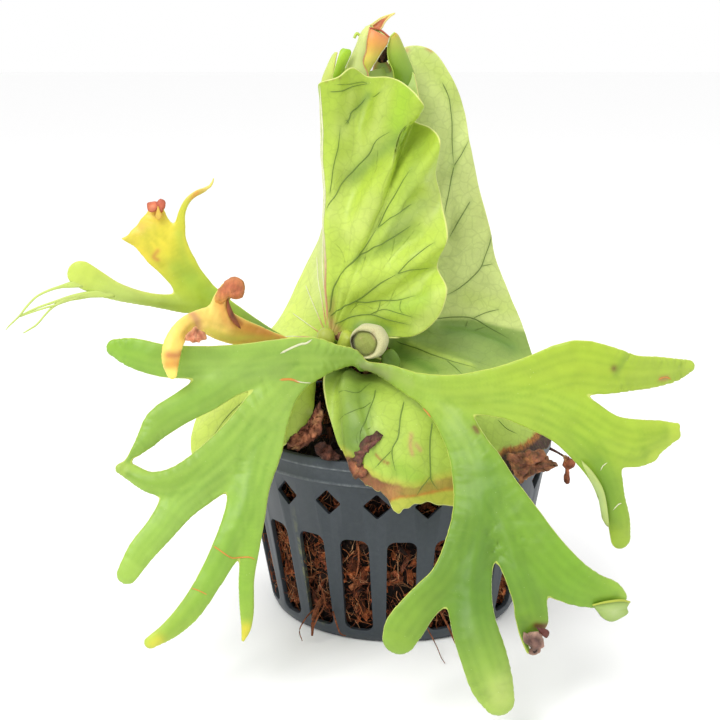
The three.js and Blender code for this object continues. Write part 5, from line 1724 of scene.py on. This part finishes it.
def shield_leaf(name, node, shield, around, along, folds, washes, veins, base, ribs=(), ragged=None,
                brown=None, net=0.12, flaps=(), extra=()):
    """A shield frond: folded sheet, washed colours, raised veins and a thin margin"""
    places, normals, faces, edge, _ = shield_sheet(shield, around, along, ragged)
    places = folded(Surface(places, faces, SHEET_HALF), places, normals, folds)
    waves = BROAD_WAVE * ripple(places, 21, 8) + FINE_WAVE * ripple(places, 7, 9)
    places = places + normals * waves[:, None]
    normals = unit(face_normals(places.reshape(around, along, 3), normals))
    surface = Surface(places, faces, SHEET_HALF)
    tint = washed(surface, places, base(places), washes)
    dry = np.zeros(len(places))
    if brown is not None:
        tint, dry = brown(places, tint, edge)
    seen = [(surface.seen(points), width) for points, width in veins]
    seen = [(line, width) for line, width in seen if len(line) > 1]
    for line, width in seen:
        near = distance_to_line(places, resample(line, 0.8))
        tint = blend(tint, "moss", 0.25 * np.exp(-(near / (width * 2.2)) ** 2))
    surface.tint = tint
    pieces = [leaf_body(places, normals, faces, tint, edge, dry, SHEET_HALF, "pale")]
    pieces += [ridge(surface, line, width, *HAND_VEIN) for line, width in seen]
    for line, width in fan_veins(shield, FAN_GAP, 17):
        pieces += [ridge(surface, line, width, *FAN_VEIN, 0.5, side, TENT_VEIN, 1.6) for side in (1, -1)]
    pieces += extra
    for k, (outline, dome, tints, wrinkle) in enumerate(flaps):
        laid = surface.near([(x, -66.0, z) for x, z in outline])[0]
        raised = [(x, y - 0.8, z) for (x, z), y in zip(outline, laid[:, 1])]
        pieces.append(scrap(raised, dome, tints, 0.6, 0.3, wrinkle, 20 + k))
    for station, start, end, width in ribs:
        steps = np.linspace(start, end, 40)
        line = shield_point(shield, np.full(40, station / (len(shield["margin"]) - 1)), steps)
        shade = blend("pink", "cream", ease(np.linspace(0, 1, len(resample(line, 0.9))), 0.1, 0.45))
        pieces.append(ridge(surface, line, width, 0.4, shade, 0.1))
    material = leaf_material(name, 230, net, (232, 236, 140, ALBEDO), 0.4, mottle=0.05)
    finished(name, pieces, material, node)


def face_normals(grid, like):
    """New normals of a changed grid, facing the same way as the old ones"""
    fresh = sheet_normals(grid).reshape(-1, 3)
    return np.where((fresh * like).sum(1, keepdims=True) < 0, -fresh, fresh)


def front_shield_base(places):
    """Lime in front, paler where the shield turns back at its left, and paler on its skirt as painted light
    where it lies in shade
    """
    tint = blend("lime", (216, 242, 96), 0.75 * ease(places[:, 2], 190, 150) * ease(places[:, 2], 100, 130))
    tint = blend(tint, "pale", 0.75 * ease(places[:, 1], -14, 6) * ease(places[:, 2], 90, 105))
    # Painted light: the skirt at the left is made paler where it lies in shade
    return blend(tint, (226, 246, 104), ease(-places[:, 0], 26, 40))


def make_front_shield():
    """The tall yellow-green shield in front"""
    shield_leaf("front_shield_leaf", "front_shield_frond", FRONT_SHIELD, 420, 76, S1_FOLDS, S1_WASHES,
                S1_VEINS, front_shield_base, FRONT_RIDGES)


S2_VEINS = [
    ([(16.8, 195.2), (19.4, 188.7), (20.3, 182.1), (20.7, 174.9), (21.3, 165.1)], 0.5),
    ([(21.3, 165.1), (19.8, 159.0), (18.3, 151.9), (17.5, 147)], 0.5),
    ([(21.3, 165.1), (24.3, 169.6), (27.0, 174.5)], 0.35),
    ([(30.7, 159.3), (27.6, 151.9), (23.8, 146.0), (19.6, 139.0)], 0.5),
    ([(35.5, 139.8), (34.1, 133.8), (32.0, 127.8), (27.8, 123.8), (22.8, 120.5), (17.8, 118.4)], 0.5),
    ([(32.0, 127.8), (36.7, 128.2), (39, 128.6)], 0.35),
    ([(13.2, 110.9), (21.6, 111.4), (28.3, 110.8), (34.5, 107.4), (41.8, 103.3), (50.0, 99.4)], 0.5),
    ([(28.3, 110.8), (33.6, 112.6), (38.6, 113.3), (45.5, 113.5)], 0.4),
    ([(-0.1, 103.6), (6.7, 102.2), (13.8, 100.8), (20.8, 99.3), (28.7, 97.0)], 0.5),
    ([(17.5, 99.9), (20.3, 98.2), (22.9, 96.2)], 0.4),
    ([(-8.0, 94.3), (-8.5, 92.7), (-10.6, 88.3), (-13.0, 83.9), (-13.3, 79.9)], 0.45),
    ([(-9.2, 91.8), (-15.0, 89.8), (-20.2, 85.6)], 0.3),
    ([(-20.3, 93.7), (-15.0, 94.1), (-9.2, 95.2)], 0.35),
    ([(1.7, 92.0), (0.2, 87.5), (-0.6, 82.1), (-2.6, 78.6), (-1.3, 71.2)], 0.5),
    ([(-2.9, 78.3), (-5.9, 75.4), (-8.6, 72.6)], 0.35),
    ([(11.0, 86.2), (10.2, 80.1), (10.2, 72.3), (10.5, 68.4), (12.9, 65.0)], 0.5),
    ([(10.5, 69.7), (7.5, 66.8), (5.4, 63.6)], 0.35),
    ([(34, 84), (37, 81), (41, 78.5)], 0.35),
]

S2_FOLDS = [
    ([(17.0, 110.2), (23.4, 109.7), (32.4, 107.2), (41.5, 103.1)], 2.6, -1.4),
    ([(22, 160), (20.6, 149.8), (19.5, 140)], 3.0, -0.8),
    ([(5.0, 103.0), (15.6, 100.8), (26.0, 98.4)], 2.6, 0.9),
    ([(-12.6, 92.3), (-11.3, 87.7), (-13.3, 81.9)], 2.6, -0.7),
    ([(-0.6, 84), (-2.4, 78), (-1.5, 71)], 2.4, -0.6),
    ([(10.2, 82), (10.2, 74), (10.8, 68)], 2.4, -0.6),
]

# The darker greens here are painted shade: in the valleys of the folds, below the crease and on the dome at
# the left. The spring line along (5, 103) is a painted highlight on a fold's ridge. The tan, brick and pink
# marks are the leaf's own colour
S2_WASHES = [
    ([(12.3, 186.1), (16.1, 175.1), (18.1, 164.3)], 5.0, (196, 214, 122), 0.5),
    ([(8.7, 203.7), (16.0, 198.4), (21.8, 189.3)], 4.5, "spring", 0.6),
    ([(27.6, 160.2), (31.4, 149.3), (35.2, 138.3)], 5.0, "pale", 0.35),
    ([(18.3, 160.9), (20.7, 149.8), (22.2, 139.0), (20.6, 130.3), (20.8, 117.2)], 3.0, (204, 220, 128), 0.6),
    ([(27.4, 117.3), (34.9, 115.5), (42.4, 113.4)], 4.0, "spring", 0.4),
    ([(-0.5, 100.5), (4.8, 98.9), (11.6, 98.0)], 3.0, "deep", 0.75),
    ([(20.0, 107.4), (32.4, 105.2), (41.5, 101.1)], 3.6, "deep", 0.7),
    ([(5.0, 103.0), (15.6, 100.8), (26.0, 98.4)], 1.5, "spring", 0.7),
    ([(-18, 96.5), (-12, 97.2)], 2.6, (176, 204, 96), 0.8),
    ([(-12.6, 92.3), (-11.3, 87.7), (-13.3, 81.9)], 2.6, "deep", 0.45),
    ([(-16.0, 80), (-16, 75.0)], 1.8, "deep", 0.6),
    ([(-9.9, 97.4), (-14.4, 94), (-17, 88.7), (-17.4, 81)], 6.5, (126, 158, 56), 0.85),
    ([(-15, 84), (-12, 80)], 4.4, (112, 148, 48), 0.7),
    ([(0.1, 72.9), (5.1, 69.6), (8.5, 66.7)], 3.0, (160, 204, 56), 0.6),
    ([(3.9, 82.9), (3.5, 79.6), (4.1, 77.1)], 0.8, "tan", 0.8),
    ([(-8, 77), (-6, 75.4), (-3.8, 74.4)], 0.5, (170, 84, 54), 0.8),
    ([(5.5, 79.7), (6.8, 78.1)], 0.8, "tan", 0.8),
    ([(4.0, 206.5)], 1.0, "pink", 0.7),
    ([(11.5, 207.3), (13.0, 206.4)], 0.7, "brick", 0.7),
]


def back_shield_base(places):
    """Grey-green above, darker below the crease as painted shade, fresh green where it hangs over the rim"""
    crease = 110.5 - 0.16 * np.maximum(places[:, 0] - 28, 0) * 1.6
    # Painted shade: darker green below the crease, where the leaf bends forward under the front shield
    tint = blend((222, 238, 142), "moss", 0.8 * ease(crease - places[:, 2], -0.6, 0.8))
    return blend(tint, (190, 218, 86), ease(places[:, 2], 100, 92))


# The brown band near the lower margin: where its upper and lower edges are, as x against z

BAND_TOP = [
    (-18, 76), (-14, 73.6), (-9.6, 70.8), (-5.3, 68.4), (0.2, 66.8), (5.8, 66.6), (13.6, 68.2), (20, 69.6),
]
BAND_BOTTOM_EDGE = [(-7, 50), (-3, 62.4), (0, 63.6), (6, 64), (20, 65.4)]
DRY_END_TOP = [(32, 74), (36, 76), (43, 75.4), (50, 77), (56, 80)]


def brown_margin(places, tint, edge):
    """The ragged brown band near the lower margin of the back shield, and its dry right end"""
    x, z = places[:, 0], places[:, 2]
    jitter = 0.6 * ripple(places, 7, 61) + 0.35 * ripple(places, 2.6, 62)
    front = ease(z, 92, 84) * ease(places[:, 1], -20, -28)
    top = np.interp(x, *np.transpose(BAND_TOP)) + jitter - z
    low = z - np.interp(x, *np.transpose(BAND_BOTTOM_EDGE)) - 0.4 * jitter
    middle = ease(x, 26, 22)
    faint = 1 - 0.35 * ease(x, -3, 4)
    band = ease(top, -0.7, 0.5) * ease(low, -0.3, 0.5) * middle * faint
    end = np.interp(x, *np.transpose(DRY_END_TOP)) + 0.8 * jitter - z
    dry_end = ease(end, -0.5, 0.4) * ease(x, 30, 33)
    share = front * np.maximum(band, dry_end)
    warm = blend((206, 146, 84), (150, 92, 54), np.clip(0.5 + 0.55 * ripple(places, 4.5, 63), 0, 1))
    warm = blend(warm, (176, 140, 62), 0.7 * ease(x, -4, 3) * middle)
    warm = blend(warm, "brown", 0.75 * ease(x, -11, -15))
    warm = blend(warm, "brown", 0.6 * np.exp(-((top - 0.2) / 0.45) ** 2) * ease(x, 4, -4))
    warm = blend(warm, "brown", 0.6 * ease(edge, 1.2, 0.2))
    scorched = blend((206, 132, 58), (92, 60, 50), ease(end, 1.2, 2.6))
    warm = blend(warm, scorched, ease(x, 30, 33))
    tint = blend(tint, (214, 196, 70), 0.5 * front * ease(top, -3.2, -0.6) * middle)
    tint = blend(tint, warm, share)
    streak = np.exp(-(low / 0.45) ** 2) * ease(x, -5, -2) * middle
    tint = blend(tint, (216, 132, 54), 0.85 * front * streak)
    return tint, 0.3 * share + 0.5 * front * dry_end


S2_FLAPS = [
    (
        [
            (-15.7, 74.8), (-14.9, 77.6), (-13.6, 79.4), (-12.6, 82), (-10, 83.9), (-7.6, 84.9), (-5.4, 83.4),
            (-6.4, 82), (-7.6, 81.2), (-9.6, 79.8), (-11.2, 77.4), (-12.4, 76.2), (-13.2, 74.4), (-14, 72.3),
            (-16, 71),
        ],
        0.35,
        [(160, 104, 84), (132, 80, 66), (92, 52, 42)],
        0.55,
    ),
    (
        [(-17.2, 74.4), (-15.6, 76), (-13.6, 74.6), (-11.2, 73), (-10.8, 70.8), (-12.8, 69), (-16, 69.6)],
        0.3,
        [(190, 124, 84), (166, 100, 66), (120, 66, 46)],
        0.8,
    ),
    (
        [
            (36, 75), (39.5, 75.6), (43.3, 75.3), (48.7, 75.2), (52.9, 71.6), (55.3, 69), (52.2, 68.3),
            (47.5, 67.8), (43.6, 66.4), (41.5, 64.8), (39.2, 68.6), (37.3, 72),
        ],
        1.2,
        [(184, 114, 82), (142, 86, 64), (190, 122, 84)],
        0.9,
    ),
    ([(40, 74.6), (46, 75.4), (50, 72.8), (46.4, 71), (42, 71.6)], 2.2, [(206, 128, 86), (146, 86, 62)], 0.8),
]

# A dark green scrap under the crozier that stands for painted shade and covers the stem's scales

CROZIER_SHADE_SCRAP = [
    [-6, -36, 105], [-2.4, -36, 106.6], [-0.2, -36, 104.6], [0.8, -36, 101.4], [-0.6, -37, 98.6],
    [-5, -38, 98],
]


def ragged_front(share):
    """Small bites out of the lower margin of the back shield"""
    last = len(BACK_SHIELD["margin"]) - 1
    station = share * last
    left = ease(station, 13.2, 14) * ease(station, 16, 15)
    right = ease(station, 20.8, 21.4) * ease(station, 25, 24.4)
    calm = ease(station, 16, 17) * ease(station, 21.4, 20.8)
    waves = np.abs(np.sin(station * 5.1)) * 0.5 + np.abs(np.sin(station * 12.7 + 1)) * 0.25
    return 0.02 * (left + right) * waves + 0.006 * calm * np.sin(station * 4.3) ** 2


def make_back_shield():
    """The tall paler shield behind, which hangs over the front of the rim"""
    # Painted shade under the crozier
    crozier_shade = scrap(CROZIER_SHADE_SCRAP, 0.4, [(98, 130, 34), (112, 146, 44)], 0.0)
    shield_leaf("back_shield_leaf", "back_shield_frond", BACK_SHIELD, 400, 78, S2_FOLDS, S2_WASHES, S2_VEINS,
                back_shield_base, (), ragged_front, brown_margin, 0.14, S2_FLAPS, [crozier_shade])


TUBE_LEFT = [
    [-19.6, -3, 197], [-19, -4, 200.3], [-17.4, -4, 203.8], [-15.4, -4, 207.9], [-14.2, -4, 210.7],
    [-13, -4, 213.6], [-11.6, -3, 215.1], [-9.5, -2, 216.1],
]
TUBE_MIDDLE = [
    [-10.2, -6, 196], [-10.6, -6, 199.4], [-12.2, -6, 203.3], [-11.2, -6, 207.2], [-10.8, -6, 211.4],
    [-9.9, -5, 215.2],
]
TUBE_RIGHT = [
    [-10, -5.6, 196], [-10.4, -5, 199.2], [-7.5, -4, 204], [-5.5, -3, 207.1], [-3.6, -3, 209.7],
    [-3, -2.6, 211.9],
]
TIP_UPPER = [[-11.6, 0, 215], [-9.4, 0.4, 216], [-5.9, 1, 218.3], [-3.4, 1, 219.2], [-0.8, 1, 220]]
TIP_LOWER = [[-9.8, -1, 214.9], [-5.9, -1, 214.5], [-4.3, -0.6, 217], [-2.4, 0, 219], [-0.8, 1, 220]]
GREEN_LEFT = [
    [-1, -1, 195], [-1.5, -2, 200.1], [-3.1, -2, 203.9], [-3.5, -2, 207.8], [-2.7, -2, 211.8],
    [-1, -2, 213.6],
]
GREEN_RIGHT = [
    [7.4, 2, 194], [6.6, 2, 198.3], [4.5, 2, 203.8], [2.5, 2, 208.4], [0.5, 1, 212.3], [-0.9, -1, 213.5],
]
PRONG_LEFT = [
    [-23.4, -7, 195], [-22.9, -9, 198.7], [-20.8, -9, 206.1], [-20.2, -8, 207.6], [-19.3, -8, 208.3],
]
PRONG_RIGHT = [[-17, -7, 195], [-18.9, -8, 200.4], [-17.7, -8, 203.4], [-16.3, -8, 206.9], [-16.9, -8, 207.8]]
SLIVER_LEFT = [[-27.4, -3, 194], [-26.9, -1, 197.3], [-25.1, 0, 201.5], [-23.1, 0, 205.4], [-21.9, 0, 206.6]]
SLIVER_RIGHT = [[-22, -6, 194], [-22.4, -7, 198.7], [-22.2, -7, 202], [-21.8, -6, 205], [-21.4, -4, 206.9]]
INNER_LEAF = [[-9.8, 2, 196.4], [-7.4, 2, 204], [-4.7, 2, 204.4], [-1.8, 1.4, 199.9], [-1, 1.4, 196.4]]
# A dark sheet in the hole at the top of the tube: painted shade
HOLE_SHADE = [[-7, 1, 203.4], [-6.4, 1, 207], [-4, 1, 208.6], [-2.6, 1, 206], [-4, 1.4, 203], [-6, 1.4, 202.6]]
HOLE_SCRAP = [[-6.6, -1, 204], [-5.6, -1.6, 207.2], [-3.9, -1.6, 208], [-3.9, -1, 205.4], [-5.6, -1, 203]]
TUBE_LIP = [[-10, -5.4, 215.2, 0.35], [-6.5, -4.4, 214.6, 0.4], [-3, -3.2, 212, 0.35]]
TUBE_PIMPLE = [[-15.4, -3, 211.6, 0.5], [-14.4, -3, 213.2, 0.55], [-13.4, -3, 212.6, 0.5]]


def make_rolled_shield():
    """The young rolled shield: a pale tube with an orange front and a dry tip, and green tips beside it"""
    places, normals, faces, edge, _ = shield_sheet(ROLLED_SHIELD, 90, 50)
    x, y, z = places.T
    places = np.column_stack([x, y + 1.4 * ease(z, 194, 200), np.where(z < 199, z, 199 + (z - 199) * 0.3)])
    tint = np.broadcast_to(colour(178, 206, 96), (len(places), 3))
    pale = [(196, 216, 110), (216, 228, 140), (222, 232, 130)]
    warm = [(184, 208, 84), (206, 214, 84), (236, 214, 88), (246, 178, 84), (238, 148, 92)]
    green = [(122, 162, 38), (134, 172, 42), (162, 194, 60), (196, 200, 80), "gold"]
    lime = [(150, 196, 44), (172, 212, 44), (160, 206, 36)]
    pieces = [
        leaf_body(places, normals, faces, tint, edge, np.zeros(len(places)), SHEET_HALF),
        petal(TUBE_LEFT, TUBE_MIDDLE, 0.32, pale),
        petal(TUBE_LEFT, TUBE_RIGHT, -0.34, pale),
        petal(TUBE_MIDDLE, TUBE_RIGHT, 0.3, warm),
        petal(TIP_UPPER, TIP_LOWER, -0.35, [(226, 150, 96), "brick", "yellow"]),
        petal([[x, y + 1, z + 0.3] for x, y, z in TIP_UPPER], TIP_UPPER, 0.1, ["spring", "yellow"], 0.25),
        petal(GREEN_LEFT, GREEN_RIGHT, 0.3, green),
        petal(PRONG_LEFT, PRONG_RIGHT, 0.25, lime),
        petal(SLIVER_LEFT, SLIVER_RIGHT, 0.1, [(214, 228, 110), (206, 226, 90)]),
        scrap(INNER_LEAF, 0.8, [(170, 198, 112), (176, 200, 104), "pink"], 0.0),
        # Painted shade in the hole
        scrap(HOLE_SHADE, 0.0, [LEAF["umber"] * 0.5, "umber"], 1.0),
        scrap(HOLE_SCRAP, 0.6, ["umber", "brown"], 1.0, 0.25, 0.7, 6),
        tube(TUBE_LIP, 16, 6, "brick"),
        tube(TUBE_PIMPLE, 10, 8, "spring"),
    ]
    for line, shade in ((TUBE_MIDDLE, "pink"), (TUBE_RIGHT, "cream"), (GREEN_LEFT, "spring")):
        pieces.append(tube([[x, y - 0.5, z, 0.28] for x, y, z in line], 30, 6, shade))
    material = leaf_material("rolled_shield_leaf", 260, 0.02, (240, 228, 140, ALBEDO), 0.3, mottle=0.05)
    finished("rolled_shield_leaf", pieces, material, "rolled_shield_frond")


DRY_SCRAPS = [
    (
        [
            [-26.8, -47, 90.4], [-25.9, -50, 86], [-26.4, -52.4, 82], [-28.4, -54, 78.4], [-32.2, -55, 76.4],
            [-37.4, -55.6, 75.8], [-38.7, -54.6, 78.2], [-34.4, -53, 81.4], [-31.6, -51.4, 84],
            [-29.4, -49, 87.4],
        ],
        0.5,
        [(150, 92, 68), (186, 120, 84), (110, 62, 46)],
        1.5,
    ),
    (
        [
            [-25.6, -54, 78.4], [-22.6, -55.6, 75.8], [-19, -56.6, 73.2], [-22, -57, 72.4],
            [-27, -56.8, 73.4], [-28.6, -55, 76.6],
        ],
        0.4,
        [(116, 68, 50), (82, 48, 36)],
        1.5,
    ),
    (
        [
            [59.4, -31.5, 66.1], [61.6, -32, 66], [63.7, -32, 64], [62.9, -31.8, 61.6], [62.2, -31.4, 60],
            [62.6, -31.4, 57], [61.2, -31.4, 55.1], [60, -31.4, 57.7], [60.8, -31.4, 60.8],
            [59.5, -31.4, 63.1],
        ],
        0.6,
        [(206, 126, 88), (166, 94, 66)],
        0.8,
    ),
]
DRY_STRING = [[54.6, -35, 69.6, 0.6], [57.8, -33, 67.4, 0.45], [60.6, -32, 65.4, 0.5]]


def make_dry_shield():
    """The old papery shield underneath, wrinkled and torn"""
    def torn(share):
        return 0.05 * np.abs(np.sin(share * 83) * np.sin(share * 37 + 1)) + 0.02 * np.abs(np.sin(share * 211))

    around, along = 260, 60
    places, normals, faces, edge, r = shield_sheet(DRY_SHIELD, around, along, torn)
    lift = (0.9 * ripple(places, 12, 71) + 0.5 * ripple(places, 5, 72)) * ease(r, 0.3, 0.8)
    places = places + normals * np.minimum(lift, 0.9)[:, None]
    normals = unit(face_normals(places.reshape(around, along, 3), normals))
    tint = blend("brown", "rust", np.clip(0.5 + 0.6 * ripple(places, 14, 73), 0, 1))
    tint = blend(tint, "tan", 0.5 * ease(ripple(places, 9, 74), 0.5, 1.2))
    body = leaf_body(places, normals, faces, tint, edge, np.ones(len(places)), SHEET_HALF)
    pieces = [body, tube(DRY_STRING, 12, 6, (96, 56, 44))]
    for k, (outline, dome, tints, wrinkle) in enumerate(DRY_SCRAPS):
        pieces.append(scrap(outline, dome, tints, 1.0, 0.3, wrinkle, 40 + k))
    finished("dry_shield_leaf", pieces, scales_material("dry_leaf"), "dry_shield_frond")


# Stem and buds

SCALES = 230
GOLDEN_ANGLE = 2.39996


def ellipsoid(centre, radii, rows, columns, tint, rough=0.0, seed=1):
    """A closed lumpy ball"""
    down = np.linspace(0, math.pi, rows)[1:-1, None, None]
    level = np.broadcast_to(np.cos(down), (rows - 2, columns, 1))
    rings = np.concatenate([np.sin(down) * circle(columns), level], 2)
    places = np.vstack([[0, 0, 1], rings.reshape(-1, 3), [0, 0, -1]]) * radii
    if rough:
        places = places * (1 + rough * ripple(places, 3.2, seed))[:, None]
    index = 1 + np.arange((rows - 2) * columns).reshape(rows - 2, columns)
    after = np.roll(index, -1, axis=1)
    faces = np.stack([index[:-1], index[1:], after[1:], after[:-1]], -1).reshape(-1, 4).tolist()
    faces += [[0, low, high] for low, high in zip(index[0].tolist(), after[0].tolist())]
    faces += [[len(places) - 1, high, low] for low, high in zip(index[-1].tolist(), after[-1].tolist())]
    return piece(places + np.array(centre, float), faces, tint)


def scale_leaf(place, outward, up, length, width, tint):
    """One papery pointed scale that lies on the stem"""
    side = np.cross(outward, up)
    rows, columns = 6, 5
    grid = np.zeros((rows, columns, 3))
    for i in range(rows):
        share = i / (rows - 1)
        half = width * (1 - share) ** 0.7 * (0.75 + 0.5 * share)
        for j in range(columns):
            across = (j / (columns - 1) - 0.5) * 2
            lift = 0.3 + 0.9 * share - 0.35 * across ** 2
            grid[i, j] = place + up * length * share + side * half * across + outward * lift
    normals = sheet_normals(grid).reshape(-1, 3)
    thin = np.full(rows * columns, 0.12)
    solid, faces, _ = blade(grid.reshape(-1, 3), normals, grid_faces(rows, columns), thin)
    return piece(solid, faces, tint)


def make_rhizome():
    """The short stem: a dark core under overlapping brown scales"""
    rng = np.random.default_rng(5)
    centre = np.array(RHIZOME["centre"], float)
    radii = np.array(RHIZOME["radii"], float) - 1.3
    pieces = [ellipsoid(centre, radii, 24, 36, "umber")]
    for k in range(SCALES):
        height = 1 - 2 * (k + 0.5) / SCALES
        turn = k * GOLDEN_ANGLE
        flat = math.sqrt(1 - height * height)
        outward = np.array([flat * math.cos(turn), flat * math.sin(turn), height])
        up = unit(np.array([0, 0, 1.0]) - outward * outward[2] + rng.normal(size=3) * 0.25)
        up = unit(up - outward * (up @ outward))
        shade = blend("brown", "tan", rng.uniform(0, 0.8))
        place = centre + outward * radii
        pieces.append(scale_leaf(place, outward, up, rng.uniform(3, 4.6), rng.uniform(1.2, 1.8), shade))
    finished("rhizome_scaly", pieces, scales_material("rhizome_scales"), "rhizome")


# The crozier's section, from the middle of its hollow over the lip to the back. Each row is the share of the
# way from the hollow's rim to the outer wall, the share of the radius inside that, the depth and the colour

CROZIER = {
    "centre": (-10, -38, 109.8), "radius": 6.2, "hollow": 4.5, "shift": (-1.6, -0.7), "turn": 12, "nod": -8,
}
CROZIER_SECTION = [
    (0.0, 0.02, -2.3, "olive"), (0.0, 0.45, -2.3, "olive"), (0.0, 0.78, -1.9, "olive"),
    (0.0, 0.95, -1.3, "gap"), (0.02, 1.0, -1.5, "gap"), (0.08, 1.0, -2.2, "inner"), (0.3, 1.0, -2.8, "felt"),
    (0.55, 1.0, -2.9, "felt"), (0.85, 1.0, -2.1, "felt"), (1.0, 1.0, -0.2, "felt"), (1.0, 1.0, 2.2, "felt"),
    (1.0, 0.9, 4.6, "back"), (1.0, 0.6, 6.6, "back"), (1.0, 0.25, 7.6, "back"), (1.0, 0.02, 7.8, "back"),
]
# The gap colour is painted shade in the crease between the hollow and the lip
CROZIER_TINTS = {
    "olive": (176, 188, 96),
    "gap": (150, 154, 80),
    "inner": (228, 226, 160),
    "felt": (244, 240, 182),
    "back": (214, 216, 148),
}
CROZIER_NECK = [[-8, -35, 106, 1.9], [-8.5, -31, 104, 1.9], [-9.5, -24, 102.5, 2]]
KNOB_NECK = [[-24.5, -30.5, 108.5, 1.5], [-23, -27.5, 106.5, 1.6], [-20.5, -24, 104, 1.7]]


def turned(a, b, degrees):
    """Two coordinates turned about the third axis"""
    cos, sin = math.cos(math.radians(degrees)), math.sin(math.radians(degrees))
    return a * cos + b * sin, b * cos - a * sin


def make_crozier():
    """The felted rolled bud: a thick cream lip round an olive hollow, on a short neck"""
    rows, columns = 64, 96
    section = np.array([[*row[:3], 0] for row in CROZIER_SECTION], float)
    line, _ = smooth_path(section, np.linspace(0, 1, rows))
    shade = graded([CROZIER_TINTS[row[3]] for row in CROZIER_SECTION], np.linspace(0, 1, rows))
    angle = np.arange(columns) * 2 * math.pi / columns
    ring = circle(columns)
    uneven = 1 + 0.03 * np.sin(2 * angle + 2.4) + 0.02 * np.sin(3 * angle) + 0.014 * np.sin(7 * angle + 1)
    outer = ring * (CROZIER["radius"] * uneven)[:, None]
    inner = np.array(CROZIER["shift"]) + ring * (CROZIER["hollow"] * uneven)[:, None]
    flat = (inner[None] + (outer - inner)[None] * line[:, None, :1]) * line[:, None, 1:2]
    x, y = turned(flat[..., 0], np.broadcast_to(line[:, 2:3], flat.shape[:2]), CROZIER["turn"])
    z, y = turned(flat[..., 1], y, CROZIER["nod"])
    places = (np.stack([x, y, z], -1) + CROZIER["centre"]).reshape(-1, 3)
    places = places * (1 + 0.0006 * ripple(places, 2.2, 91))[:, None]
    tint = np.repeat(shade, columns, axis=0)
    inside = np.repeat(ease(line[:, 0], 0.2, 0.02) * (line[:, 2] < 0), columns)
    left, low = ease(-np.tile(ring[:, 0], rows), 0.55, 0.95), ease(np.tile(ring[:, 1], rows), -0.2, -0.9)
    # Painted shade: the hollow darker on its left and at its bottom
    tint = blend(tint, (70, 62, 34), 0.9 * inside * left * ease(np.repeat(line[:, 1], columns), 0.7, 0.9))
    tint = blend(tint, (140, 150, 66), 0.45 * inside * low)
    tint = blend(tint, (226, 196, 150), 0.4 * ease(ripple(places, 4, 92), 0.5, 1.1))
    bud = piece(places, [face[:1] + face[:0:-1] for face in ring_faces(rows, columns)], tint)
    neck = tube(CROZIER_NECK, 12, 12, (150, 150, 96))
    finished("crozier_felted", [bud, neck], felt_material(), "crozier")


def make_knob_bud():
    """The small green dome beside the crozier"""
    dome = ellipsoid((-25.4, -31, 109.4), (3.2, 3.1, 3.6), 24, 32, (190, 200, 84))
    material = leaf_material("bud_green", 900, 0.04, "pale", 0.1)
    finished("knob_bud_dome", [dome, tube(KNOB_NECK, 8, 10, "moss")], material, "knob_bud")


def make_new_shield_bud():
    """The lumpy yellow-green start of a new shield"""
    body = ellipsoid((-17.8, -30, 107.9), (3.2, 4.4, 3.9), 24, 32, (192, 206, 78), 0.12, 9)
    material = leaf_material("new_shield_green", 700, 0.06, "pale", 0.1)
    finished("new_shield_bud_lump", [body], material, "new_shield_bud")


# Floor, light and camera

# Half the floor's width in millimetres, and the place in metres that the lights face
FLOOR_SIZE = 4000.0
LIGHT_TARGET = Vector((0, 0, 0.09))


def make_floor():
    """A plain white floor just under the basket"""
    size, z = FLOOR_SIZE, -0.1
    corners = [(-size, -size, z), (size, -size, z), (size, size, z), (-size, size, z)]
    floor = mesh_object("floor", corners, [(0, 1, 2, 3)])
    floor.data.materials.append(Shader("floor_white", 0.9, 0.1).finish({"Base Color": (252, 252, 252)}))


def add_light(name, place, size, power):
    """A soft square light that faces the plant"""
    data = bpy.data.lights.new(name, "AREA")
    data.size = size
    data.energy = power
    lamp = placed(name, data)
    lamp.location = place
    lamp.rotation_euler = (LIGHT_TARGET - Vector(place)).to_track_quat("-Z", "Y").to_euler()


def make_lights():
    """A white studio: a bright surround, a big soft light from the upper left, and fill from the right"""
    world = bpy.data.worlds.new("studio")
    world.use_nodes = True
    background = world.node_tree.nodes["Background"]
    background.inputs["Color"].default_value = (1, 1, 1, 1)
    background.inputs["Strength"].default_value = 1.0
    bpy.context.scene.world = world
    add_light("key", (-0.45, -0.55, 0.85), 0.5, 6.0)
    add_light("fill", (0.75, -0.5, 0.45), 0.6, 0.8)
    add_light("top", (0.0, 0.35, 0.95), 0.7, 1.5)
    bpy.context.scene.view_settings.view_transform = "Standard"
    bpy.context.scene.view_settings.look = "None"


def make_camera():
    """The camera at the photograph's viewing angle"""
    data = bpy.data.cameras.new("camera")
    data.sensor_width = 36
    data.lens = CAMERA_LENS
    data.clip_start = 0.01
    camera = placed("camera", data)
    camera.location = CAMERA_PLACE
    camera.rotation_euler = (math.radians(CAMERA_TILT), 0, 0)
    bpy.context.scene.camera = camera


make_camera()
make_floor()
make_lights()
make_basket()
make_fill()
make_rhizome()
make_dry_shield()
make_back_shield()
make_rolled_shield()
make_front_shield()
make_front_frond()
make_upper_frond()
make_crozier()
make_knob_bud()
make_new_shield_bud()
